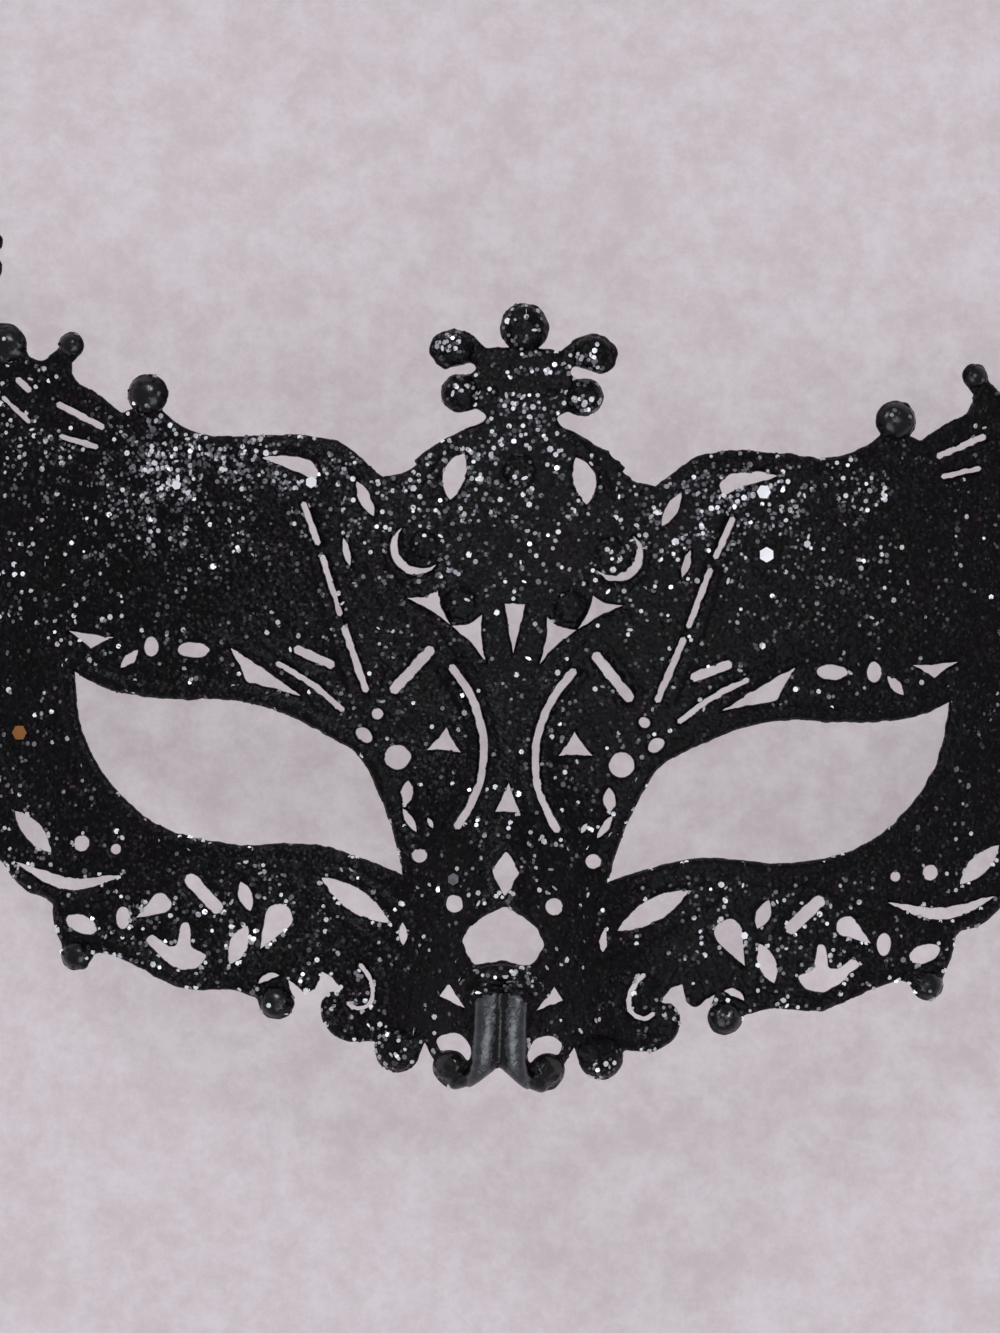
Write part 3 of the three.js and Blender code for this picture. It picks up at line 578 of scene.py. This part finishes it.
def glittered_rise(x, y):
    """Height of the glittered forms that stand on the front of the sheet."""
    from_tie = np.hypot((np.abs(x) - TIE_X) / TIE_NARROWING, y - TIE_Y)
    raised = np.max([
        COLLAR_RISE * np.sqrt(nearness(x, y, COLLAR, COLLAR_HALF_WIDTH)),
        LOWER_BAND_RISE * np.sqrt(nearness(x, y, LOWER_BAND, LOWER_BAND_HALF_WIDTH)),
        ball_rise(GLITTERED_BALLS, x, y),
        TIE_RING_RISE * (from_tie < TIE_RING_RADIUS),
    ], axis=0)
    return np.maximum(raised, ball_rise(SMOOTH_BALLS, x, y)) + relief(x, y) * (raised < FLAT_RISE)


def eye_rim_rise(from_eye):
    """Rim round the eye openings, at a distance from their edge."""
    half = EYE_RIM_WIDTH / 2
    return EYE_RIM_RISE * np.maximum(0, 1 - ((from_eye - half) / half) ** 2)


def edge_drop(from_edge):
    """How far the rounding of the edges lowers the front, at a distance from an edge."""
    near = np.clip(1 - from_edge / EDGE_ROUND, 0, 1)
    return EDGE_ROUND * (1 - np.sqrt(1 - near**2))


# Flat meshes of the drawing
class Edges:
    """Some closed loops, and how far points of the drawing are from the nearest of them."""

    def __init__(self, loops):
        self.points = np.vstack(loops)
        starts = np.cumsum([0] + [len(loop) for loop in loops])
        self.next = np.concatenate([np.roll(np.arange(a, b), -1) for a, b in zip(starts, starts[1:])])
        self.last = np.concatenate([np.roll(np.arange(a, b), 1) for a, b in zip(starts, starts[1:])])
        self.tree = kdtree.KDTree(len(self.points))
        for i, (x, y) in enumerate(self.points):
            self.tree.insert((x, y, 0), i)
        self.tree.balance()

    def distance(self, p):
        near = np.array([self.tree.find((x, y, 0))[1] for x, y in p], int)
        best = np.full(len(p), np.inf)
        for other in (self.next[near], self.last[near]):
            a, b = self.points[near], self.points[other]
            ab = b - a
            t = np.clip(np.sum((p - a) * ab, axis=1) / np.sum(ab * ab, axis=1), 0, 1)
            best = np.minimum(best, np.linalg.norm(p - a - ab * t[:, None], axis=1))
        return best


def inside_loop(loop, p):
    """Whether each point lies in a loop: a line to its right then crosses the loop an odd number of times."""
    found = np.zeros(len(p), bool)
    low, high = loop.min(0), loop.max(0)
    close = np.nonzero(np.all((p >= low) & (p <= high), axis=1))[0]
    for part in np.array_split(close, max(1, len(close) // POINTS_AT_A_TIME)):
        x, y = p[part, 0][:, None], p[part, 1][:, None]
        x0, y0 = loop[:, 0], loop[:, 1]
        x1, y1 = np.roll(x0, -1), np.roll(y0, -1)
        spans = (y0 > y) != (y1 > y)
        rise = np.where(y1 == y0, TINY, y1 - y0)
        found[part] = np.sum(spans & (x < x0 + (x1 - x0) * (y - y0) / rise), axis=1) % 2 == 1
    return found


def on_sheet(loops, p):
    """Whether each point lies in the outline, the first loop, and in none of the openings."""
    found = inside_loop(loops[0], p)
    for loop in loops[1:]:
        found &= ~inside_loop(loop, p)
    return found


def hex_grid(step, jitter):
    """Points in offset rows over the whole drawing, each moved at random."""
    rows = np.arange(GRID_BOTTOM, GRID_TOP, step * 0.866)
    columns = np.arange(-GRID_SIDE, GRID_SIDE, step)
    x, y = np.meshgrid(columns, rows)
    x = x + (np.arange(len(rows)) % 2)[:, None] * step / 2
    p = np.column_stack([x.ravel(), y.ravel()])
    return p + rng.uniform(-jitter, jitter, p.shape) * step


def points_inside(loops, edges, step, jitter, margin):
    """Points spread over the sheet, none nearer to an edge than the margin."""
    grid = hex_grid(step, jitter)
    grid = grid[on_sheet(loops, grid)]
    return grid[edges.distance(grid) > margin]


def edge_rows(loops, edges):
    """Rows of points that follow the edges, to round them evenly."""
    rows = []
    for offset in EDGE_ROWS:
        for loop in loops:
            for side in (1, -1):
                p = loop + square_to(loop) * offset * side
                rows.append(p[edges.distance(p) > offset * ROW_CLEARANCE])
    rows = np.vstack(rows)
    return rows[on_sheet(loops, rows)]


def loop_sides(loops):
    """Each point of the loops with the next one of its loop, by their numbers through all the loops."""
    pairs = []
    start = 0
    for loop in loops:
        n = len(loop)
        pairs += [(start + i, start + (i + 1) % n) for i in range(n)]
        start += n
    return pairs


def triangles_between(loops, inner):
    """Flat triangles between the loops and through the inner points, all turned the same way."""
    points = np.vstack(loops + [inner])
    made = delaunay_2d_cdt([Vector(p) for p in points], loop_sides(loops), [], 0, TINY)
    flat = np.array([tuple(v) for v in made[0]])
    faces = np.array(made[2])
    faces = faces[on_sheet(loops, flat[faces].mean(axis=1))]
    a, b, c = (flat[faces[:, k]] for k in range(3))
    turned = (b - a)[:, 0] * (c - a)[:, 1] - (b - a)[:, 1] * (c - a)[:, 0] < 0
    faces[turned] = faces[turned][:, ::-1]
    return flat, faces


def to_metres(x, y, z):
    """Places in the scene for points of the drawing, none of them below the floor."""
    return np.column_stack([x, y - MIDDLE_Y, np.maximum(z, 0)]) / 1000


def mesh_piece(name, corners, faces, materials, smooth=None, material_of=None):
    mesh = bpy.data.meshes.new(name)
    mesh.from_pydata(corners.tolist(), [], [tuple(int(i) for i in f) for f in faces])
    for material in materials:
        mesh.materials.append(material)
    if smooth is not None:
        mesh.polygons.foreach_set("use_smooth", smooth)
    if material_of is not None:
        mesh.polygons.foreach_set("material_index", material_of)
    mesh.validate()
    piece = new_object(name, mesh)
    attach(piece, "root")
    return piece


# The sheet
def roughened(loop):
    """The loop with the slight wander that a crust of glitter gives its edge, but true at sharp corners."""
    ahead = np.roll(loop, -1, axis=0) - loop
    ahead /= np.hypot(ahead[:, 0], ahead[:, 1])[:, None]
    turn = 1 - np.sum(ahead * np.roll(ahead, 1, axis=0), axis=1)
    sharp = np.max([np.roll(turn, shift) for shift in (-2, -1, 0, 1, 2)], axis=0)
    wander = rng.normal(0, 1, len(loop)) * rng.uniform(0, 1, len(loop))
    wander = (np.roll(wander, 1) + wander + np.roll(wander, -1)) / 3 * np.clip(1.2 - 3 * sharp, 0, 1)
    bare = patch(np.abs(loop[:, 0]), loop[:, 1], *BARE_FOOT)
    return loop + square_to(loop) * (wander * EDGE_CRUST * (1 - bare))[:, None]


def front_corners(flat, edges, eye_edges):
    """Corners of the front, whether each is of bare plastic, and whether that plastic takes the lighter
    bluish colour that paints the highlight on the column crests.
    """
    x, y = flat.T
    from_edge = edges.distance(flat)
    glittered = glittered_rise(x, y)
    column = columns_rise(x, y)
    volute = volute_rise(x, y)
    between = (np.abs(x) < COLUMN_X[-1]) & (y < COLUMN_Y[-1] - COLLAR_HALF_WIDTH)
    on_columns = (between | (column > BARE_COLUMN)) & (column >= glittered)
    bare = on_columns | (volute > BARE_VOLUTE) | (ball_rise(SMOOTH_BALLS, x, y) > BARE_BALL)
    strength = np.clip(from_edge / GRAIN_EASE, GRAIN_AT_EDGE, 1)
    grain = GRAIN_HEIGHT * rng.normal(0, 1, len(flat)).clip(-2, 2) * strength
    grain[bare] = 0
    rise = np.max([glittered, column, volute], axis=0) + eye_rim_rise(eye_edges.distance(flat)) + grain
    corners = np.column_stack([x, y, front_height(x, y)]) + normals_of(front_height, x, y) * rise[:, None]
    corners[:, 2] -= edge_drop(from_edge)
    return corners, bare, on_columns & (column > HIGHLIGHT_RISE)


def back_corners(flat):
    """Corners of the plain back, straight behind their places on the drawing."""
    x, y = flat.T
    return np.column_stack([x, y, front_height(x, y) - SHEET / normals_of(front_height, x, y)[:, 2]])


def edge_walls(loops, front, count):
    """Walls that face outward, from the edges of a front with count corners straight back."""
    used = set(map(tuple, np.vstack([front[:, [0, 1]], front[:, [1, 2]], front[:, [2, 0]]]).tolist()))
    walls = []
    for a, b in loop_sides(loops):
        wall = (a, a + count, b + count, b)
        walls.append(wall if (a, b) in used else wall[::-1])
    return walls


def make_sheet(loops, edges, eye_edges, coat, bare_plastic, highlight_plastic):
    """The sheet: a front with all its forms, walls straight back from its edges, and a plain back."""
    grid = points_inside(loops, edges, GRAIN_STEP, GRAIN_JITTER, GRAIN_MARGIN)
    flat, front = triangles_between(loops, np.vstack([edge_rows(loops, edges), grid]))
    corners, bare, painted_highlight = front_corners(flat, edges, eye_edges)
    walls = edge_walls(loops, front, len(flat))
    few = points_inside(loops, edges, BACK_STEP, BACK_JITTER, BACK_MARGIN)
    flat_back, back = triangles_between(loops, few)
    back = back[:, ::-1] + len(flat)
    bare_face = np.all(bare[front], axis=1)
    # the third material of the front is the painted highlight on the crests of the columns
    painted_highlight_face = np.all(painted_highlight[front], axis=1)
    smooth = np.concatenate([bare_face, np.zeros(len(walls), bool), np.ones(len(back), bool)])
    front_material = bare_face.astype(int) + painted_highlight_face
    material_of = np.concatenate([front_material, np.zeros(len(walls), int), np.ones(len(back), int)])
    corners = to_metres(*np.vstack([corners, back_corners(flat_back)]).T)
    faces = front.tolist() + walls + back.tolist()
    piece = mesh_piece("mask_sheet", corners, faces, [coat, bare_plastic, highlight_plastic], smooth, material_of)
    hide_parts("mask")


# Glitter
CLUMP_SIZE = 2.4
CLUMP_CELLS = (100, 80)
CLUMP_LEFT, CLUMP_BOTTOM = -100, -80  # corner of the field of clumps on the drawing
CLUMP_FIELD = rng.uniform(0, 1, CLUMP_CELLS) ** 2 * 3
BLACK_DENSITY = 0.35
FLAKE_THICKNESS = 0.08
FLAKE_SPREAD = 0.17  # how much the widths of flakes vary
FLAKE_MARGIN = 0.12  # least distance of a flake's middle from an edge
BARE_CLEARANCE = 0.1  # how far a bare form may stand above the glittered ones where a flake lies
RIM_WIDTH = 0.5  # strip along the lower edges that catches flakes
FLAKE_UPTURN = 0.3  # how much flakes face up rather than along the front
SEQUIN_UPTURN = 1
SEQUIN_TILT = 0.06  # spread of the directions that sequins face
SEQUIN_LIFT = 0.5  # how far sequins lie off the front


def sparkle_density(x, y):
    """Silver flakes per square millimetre: thick on the crown and brow, sparse over the eyes."""
    side = np.abs(x)
    upper = fade(y, 15, 8)
    density = 0.045 + 0.045 * upper + 0.05 * fade(-y, 20, 8)

    # brow: its left end, its right half, then the whole of it
    density += 0.45 * patch(x, y, -54, 37, 10, 7)
    density += 0.1 * patch(x, y, 35, 33, 13, 6)
    density += 0.1 * patch(side, y, 0, 33, 60, 6, power_x=4)

    # middle of the brow, foot of the crown, then the crown
    density += 0.03 * np.exp(-((x / 16) ** 2)) * upper
    density += 0.08 * np.exp(-((x / 14) ** 2)) * fade(y, 36, 8)
    density += 0.18 * patch(x, y, 0, 50, 8, 6, power_x=4, power_y=4)

    # nose foot, which has fewer flakes and is thinned further as painted shade where the nose lies in shadow;
    # the sides of the nose above it; then the collar
    density *= 1 - 0.7 * fade(-y, 30, 5) * (side < 22) * (y > -52)
    density += 0.15 * patch(side, y, 5, -27, 4, 5)
    density += 0.6 * patch(x, y, 0, -44.5, 5, 2)

    # balls, right wing, then left wing with its outer edge
    on_glittered = ball_rise(GLITTERED_BALLS, x, y) > 0
    on_smooth = ball_rise(SMOOTH_BALLS, x, y) > 0
    density += 0.35 * on_glittered - 0.6 * density * on_smooth
    density *= 1 - 0.75 * fade(x, 54, 12)
    density *= (1 - 0.45 * fade(-x, 58, 6)) * (1 + 2.4 * fade(-x, 73, 5))
    return 0.82 * density


def dull_density(x, y):
    return 1.7 * sparkle_density(x, y) + 0.02 + 0.3 * patch(x, y, -52, 31, 16, 9)


def dust_density(x, y):
    """Fine flakes on both sides of the brow."""
    return 1.1 * patch(x, y, -54, 32, 18, 10) + 0.6 * patch(x, y, 34, 32, 14, 8)


def black_density(x, y):
    return np.full(len(x), BLACK_DENSITY)


def strip_density(x, y):
    return 0.1 * sparkle_density(x, y)


def rim_density(edges):
    """Density of flakes caught on the edges of the cheeks and of the lower sides of the eyes."""
    def density(x, y):
        on_edge = edges.distance(np.column_stack([x, y])) < RIM_WIDTH
        return 0.6 * on_edge * (y < -16) * (np.abs(x) > 14)

    return density


def clumps(x, y):
    """Random field about 1, whose soft patches of CLUMP_SIZE make the glitter lie unevenly."""
    column, row = (x - CLUMP_LEFT) / CLUMP_SIZE, (y - CLUMP_BOTTOM) / CLUMP_SIZE
    i, j = column.astype(int), row.astype(int)
    u, v = column - i, row - j
    near = CLUMP_FIELD[i, j] * (1 - u) + CLUMP_FIELD[i + 1, j] * u
    far = CLUMP_FIELD[i, j + 1] * (1 - u) + CLUMP_FIELD[i + 1, j + 1] * u
    return near * (1 - v) + far * v


def on_front(p, edges, lift):
    """Places lifted off the glittered front for points of the drawing, and the way the front faces there."""
    x, y = p.T
    out = (glittered_rise(x, y) + lift)[:, None]
    at = np.column_stack([x, y, front_height(x, y)]) + normals_of(front_height, x, y) * out
    at[:, 2] -= edge_drop(edges.distance(p))
    return at, normals_of(lambda u, v: front_height(u, v) + glittered_rise(u, v), x, y)


def tilted(facing, upturn, tilt):
    """Directions turned up, each then tilted at random."""
    facing = facing + (0, 0, upturn) + rng.normal(0, tilt, facing.shape)
    return facing / np.linalg.norm(facing, axis=1)[:, None]


def plates(name, at, facing, radius, material, stretch=1):
    """Thin six-sided plates, one at each place, longer one way by the factor stretch."""
    side = np.cross(facing, rng.normal(0, 1, facing.shape))
    side /= np.linalg.norm(side, axis=1)[:, None]
    other = np.cross(facing, side)
    angles = np.arange(6) * math.pi / 3
    along = side[:, None] * (stretch * np.cos(angles))[:, None]
    rim = at[:, None] + radius[:, None, None] * (along + other[:, None] * np.sin(angles)[:, None])
    corners = np.concatenate([rim, rim + facing[:, None] * FLAKE_THICKNESS], axis=1).reshape(-1, 3)
    faces = []
    for b in range(0, 12 * len(at), 12):
        faces.append([b + 5 - i for i in range(6)])
        faces.append([b + 6 + i for i in range(6)])
        faces += [[b + i, b + (i + 1) % 6, b + 6 + (i + 1) % 6, b + 6 + i] for i in range(6)]
    mesh_piece(name, to_metres(*corners.T), faces, [material])


def flakes(name, density, width, tilt, lift, material, loops, edges, stretch=1):
    """Flakes scattered on the front at a density per square millimetre, each lifted off it and tilted."""
    low, high = loops[0].min(0), loops[0].max(0)
    p = rng.uniform(low, high, (round(np.prod(high - low)), 2))
    p = p[rng.uniform(0, 1, len(p)) < density(*p.T) * clumps(*p.T)]
    p = p[on_sheet(loops, p)]
    p = p[np.maximum(columns_rise(*p.T), volute_rise(*p.T)) < glittered_rise(*p.T) + BARE_CLEARANCE]
    p = p[edges.distance(p) > FLAKE_MARGIN]
    at, facing = on_front(p, edges, lift)
    facing = tilted(facing, FLAKE_UPTURN, tilt)
    radius = width / 2 * rng.lognormal(0, FLAKE_SPREAD, len(p))
    plates(name, at, facing, radius, material, stretch)


def sequins(name, places, edges, material):
    """Larger flakes at their own places: x, y and width."""
    places = np.array(places, float)
    at, facing = on_front(places[:, :2], edges, SEQUIN_LIFT)
    facing = tilted(facing, SEQUIN_UPTURN, SEQUIN_TILT)
    plates(name, at, facing, places[:, 2] / 2, material)


# Materials
def new_material(name):
    material = bpy.data.materials.new(name)
    material.use_nodes = True
    return material, material.node_tree.nodes, material.node_tree.links


def pattern(nodes, links, kind, scale):
    """Texture fixed to the object, its scale in repeats per metre."""
    place = nodes.new("ShaderNodeTexCoord")
    texture = nodes.new(kind)
    texture.inputs["Scale"].default_value = scale
    links.new(place.outputs["Object"], texture.inputs["Vector"])
    return texture


def noise_pattern(nodes, links, scale, detail):
    noise = pattern(nodes, links, "ShaderNodeTexNoise", scale)
    noise.inputs["Detail"].default_value = detail
    return noise


def flake_cells(nodes, links, size_mm):
    """Random colour per small cell of the object, as a scatter of tiny flakes."""
    return pattern(nodes, links, "ShaderNodeTexVoronoi", 1000 / size_mm)


def map_range(nodes, low, high, to_low=0, to_high=1):
    node = nodes.new("ShaderNodeMapRange")
    node.inputs["From Min"].default_value = low
    node.inputs["From Max"].default_value = high
    node.inputs["To Min"].default_value = to_low
    node.inputs["To Max"].default_value = to_high
    return node


def blend(nodes, first, second):
    """Mix of two colours."""
    node = nodes.new("ShaderNodeMix")
    node.data_type = "RGBA"
    node.inputs["A"].default_value = (*first, 1)
    node.inputs["B"].default_value = (*second, 1)
    return node


def tilted_normal(nodes, links, cells, amount):
    """Direction of the surface, turned cell by cell."""
    shift = nodes.new("ShaderNodeVectorMath")
    shift.operation = "SUBTRACT"
    shift.inputs[1].default_value = (0.5, 0.5, 0.5)
    scale = nodes.new("ShaderNodeVectorMath")
    scale.operation = "SCALE"
    scale.inputs["Scale"].default_value = amount
    face = nodes.new("ShaderNodeNewGeometry")
    add = nodes.new("ShaderNodeVectorMath")
    add.operation = "ADD"
    unit = nodes.new("ShaderNodeVectorMath")
    unit.operation = "NORMALIZE"
    links.new(cells.outputs["Color"], shift.inputs[0])
    links.new(shift.outputs[0], scale.inputs[0])
    links.new(face.outputs["Normal"], add.inputs[0])
    links.new(scale.outputs[0], add.inputs[1])
    links.new(add.outputs[0], unit.inputs[0])
    return unit.outputs[0]


def ramp(nodes, interpolation, stops):
    """Colour ramp with a stop for each place and colour."""
    node = nodes.new("ShaderNodeValToRGB")
    node.color_ramp.interpolation = interpolation
    elements = node.color_ramp.elements
    while len(elements) < len(stops):
        elements.new(0.5)
    for element, (place, colour) in zip(elements, stops):
        element.position = place
        element.color = (*colour, 1)
    return node


def coat_material():
    """Black glitter: small dark flakes in the plastic's black, here plum and there olive."""
    material, nodes, links = new_material("glitter_coat")
    shader = nodes["Principled BSDF"]
    cells = flake_cells(nodes, links, 0.5)
    split = nodes.new("ShaderNodeSeparateColor")
    links.new(cells.outputs["Color"], split.inputs["Color"])
    flecks = ramp(nodes, "CONSTANT", [
        (0.0, (0.0009, 0.0008, 0.0012)),
        (0.5, (0.002, 0.0018, 0.0026)),
        (0.8, (0.005, 0.0045, 0.006)),
        (0.94, (0.011, 0.01, 0.013)),
        (0.988, (0.032, 0.032, 0.037)),
    ])
    patches = noise_pattern(nodes, links, 130, 2)
    tints = ramp(nodes, "EASE", [
        (0.36, (1.5, 0.8, 1)),
        (0.46, (1, 1, 1)),
        (0.58, (1, 1, 1)),
        (0.68, (1.05, 1.1, 0.75)),
    ])
    tinted = nodes.new("ShaderNodeMix")
    tinted.data_type = "RGBA"
    tinted.blend_type = "MULTIPLY"
    tinted.inputs["Factor"].default_value = 1
    links.new(patches.outputs["Fac"], tints.inputs["Fac"])
    links.new(split.outputs["Red"], flecks.inputs["Fac"])
    links.new(flecks.outputs["Color"], tinted.inputs["A"])
    links.new(tints.outputs["Color"], tinted.inputs["B"])
    links.new(tinted.outputs["Result"], shader.inputs["Base Color"])
    links.new(tilted_normal(nodes, links, cells, 0.3), shader.inputs["Normal"])
    shader.inputs["Roughness"].default_value = 0.42
    shader.inputs["Specular IOR Level"].default_value = 0.14
    return material


def bare_material(name, colour, specular, smoothest, roughest, mottle_mm, unevenness):
    """Moulded black plastic, its gloss mottled and its surface slightly uneven."""
    material, nodes, links = new_material(name)
    shader = nodes["Principled BSDF"]
    noise = noise_pattern(nodes, links, 1000 / mottle_mm, 3)
    rough = map_range(nodes, 0.3, 0.7, smoothest, roughest)
    bump = nodes.new("ShaderNodeBump")
    bump.inputs["Strength"].default_value = unevenness
    bump.inputs["Distance"].default_value = 0.0003
    links.new(noise.outputs["Fac"], rough.inputs["Value"])
    links.new(rough.outputs["Result"], shader.inputs["Roughness"])
    links.new(noise.outputs["Fac"], bump.inputs["Height"])
    links.new(bump.outputs["Normal"], shader.inputs["Normal"])
    shader.inputs["Base Color"].default_value = (*colour, 1)
    shader.inputs["Specular IOR Level"].default_value = specular
    return material


def flake_material(name, colour, metallic, roughness, spread):
    """Foil flakes whose tone varies a little from one to the next."""
    material, nodes, links = new_material(name)
    shader = nodes["Principled BSDF"]
    cells = flake_cells(nodes, links, 2)
    split = nodes.new("ShaderNodeSeparateColor")
    tone = blend(nodes, [c * (1 - spread) for c in colour], colour)
    links.new(cells.outputs["Color"], split.inputs["Color"])
    links.new(split.outputs["Green"], tone.inputs["Factor"])
    links.new(tone.outputs["Result"], shader.inputs["Base Color"])
    shader.inputs["Metallic"].default_value = metallic
    shader.inputs["Roughness"].default_value = roughness
    return material


# Floor and light, in metres
FLOOR_REACH = 6.0  # from the middle of the floor to its sides


def make_stage():
    material, nodes, links = new_material("pale_floor")
    shader = nodes["Principled BSDF"]
    noise = noise_pattern(nodes, links, 100, 8)
    noise.inputs["Roughness"].default_value = 0.85
    contrast = map_range(nodes, 0.4, 0.6)
    tone = blend(nodes, (0.5, 0.438, 0.464), (0.608, 0.56, 0.594))
    links.new(noise.outputs["Fac"], contrast.inputs["Value"])
    links.new(contrast.outputs["Result"], tone.inputs["Factor"])
    links.new(tone.outputs["Result"], shader.inputs["Emission Color"])
    shader.inputs["Base Color"].default_value = (0.17, 0.155, 0.163, 1)
    shader.inputs["Emission Strength"].default_value = 0.8
    shader.inputs["Roughness"].default_value = 0.9
    shader.inputs["Specular IOR Level"].default_value = 0.1
    mesh = bpy.data.meshes.new("floor")
    s = FLOOR_REACH
    mesh.from_pydata([(-s, -s, 0), (s, -s, 0), (s, s, 0), (-s, s, 0)], [], [(0, 1, 2, 3)])
    mesh.materials.append(material)
    floor = new_object("floor", mesh)


def area_light(name, location, width, height, energy):
    """Lamp that shines towards the middle of the floor."""
    data = bpy.data.lights.new(name, "AREA")
    data.shape = "RECTANGLE"
    data.size = width
    data.size_y = height
    data.energy = energy
    data.color = (0.92, 0.95, 1)
    light = new_object(name, data)
    light.location = location
    light.rotation_euler = Vector(location).to_track_quat("Z", "Y").to_euler()


def make_light():
    world = bpy.data.worlds.new("world")
    world.use_nodes = True
    world.node_tree.nodes["Background"].inputs["Color"].default_value = (0.93, 0.9, 0.95, 1)
    world.node_tree.nodes["Background"].inputs["Strength"].default_value = 0.22
    bpy.context.scene.world = world
    area_light("key", (-1.4, 2.2, 3.0), 0.7, 0.7, 60)
    area_light("fill", (2.0, 0.4, 3.0), 1.2, 1.2, 22)
    area_light("front", (0, -1, 1.5), 1.2, 1.3, 14)
    bpy.context.scene.view_settings.view_transform = "Standard"


make_camera()
make_stage()
make_light()

eye = make_eye()
lace = make_lace()
loops = [make_outline(), eye, mirrored(eye)] + lace + [mirrored(loop) for loop in lace] + make_midline()
loops = [roughened(loop) for loop in loops]
edges = Edges(loops)
eye_edges = Edges(loops[1:3])

black_plastic = bare_material("black_plastic", (0.006, 0.006, 0.0065), 0.4, 0.2, 0.34, 1.6, 0.4)
# lighter bluish and glossier than the black plastic: the painted highlight on the crests of the nose columns
highlight_plastic = bare_material("highlight_plastic", (0.018, 0.021, 0.027), 1, 0.2, 0.42, 1, 0.6)
make_sheet(loops, edges, eye_edges, coat_material(), black_plastic, highlight_plastic)
silver = flake_material("silver_flake", (0.88, 0.87, 0.91), 0.45, 0.38, 0.55)
pewter = flake_material("pewter_flake", (0.22, 0.215, 0.24), 0.4, 0.35, 0.75)
black = flake_material("black_flake", (0.02, 0.018, 0.022), 0.4, 0.3, 0.7)
white = flake_material("white_sequin", (0.93, 0.92, 0.95), 0.2, 0.3, 0.1)
copper = flake_material("copper", (0.42, 0.17, 0.05), 0.5, 0.3, 0.2)
flakes("glitter_silver", sparkle_density, 0.78, 0.364, 0.06, silver, loops, edges)
flakes("glitter_rim", rim_density(edges), 0.75, 0.364, 0.06, silver, loops, edges)
flakes("glitter_pewter", dull_density, 0.68, 0.325, 0.02, pewter, loops, edges)
flakes("glitter_dust", dust_density, 0.5, 0.325, 0.02, pewter, loops, edges)
flakes("glitter_black", black_density, 0.6, 0.325, 0, black, loops, edges)
flakes("glitter_strips", strip_density, 0.45, 0.182, 0.08, silver, loops, edges, stretch=2.2)
white_places = [(39.7, 24.6, 2.5), (38.9, 34.6, 2.3), (-33, 33.6, 1.9), (-54.5, 32.5, 1.6)]
sequins("sequins", white_places, edges, white)
sequins("dull_sequin", [(-7.9, -28.9, 2)], edges, pewter)
sequins("copper_sequin", [(-78.4, -8, 2.5)], edges, copper)
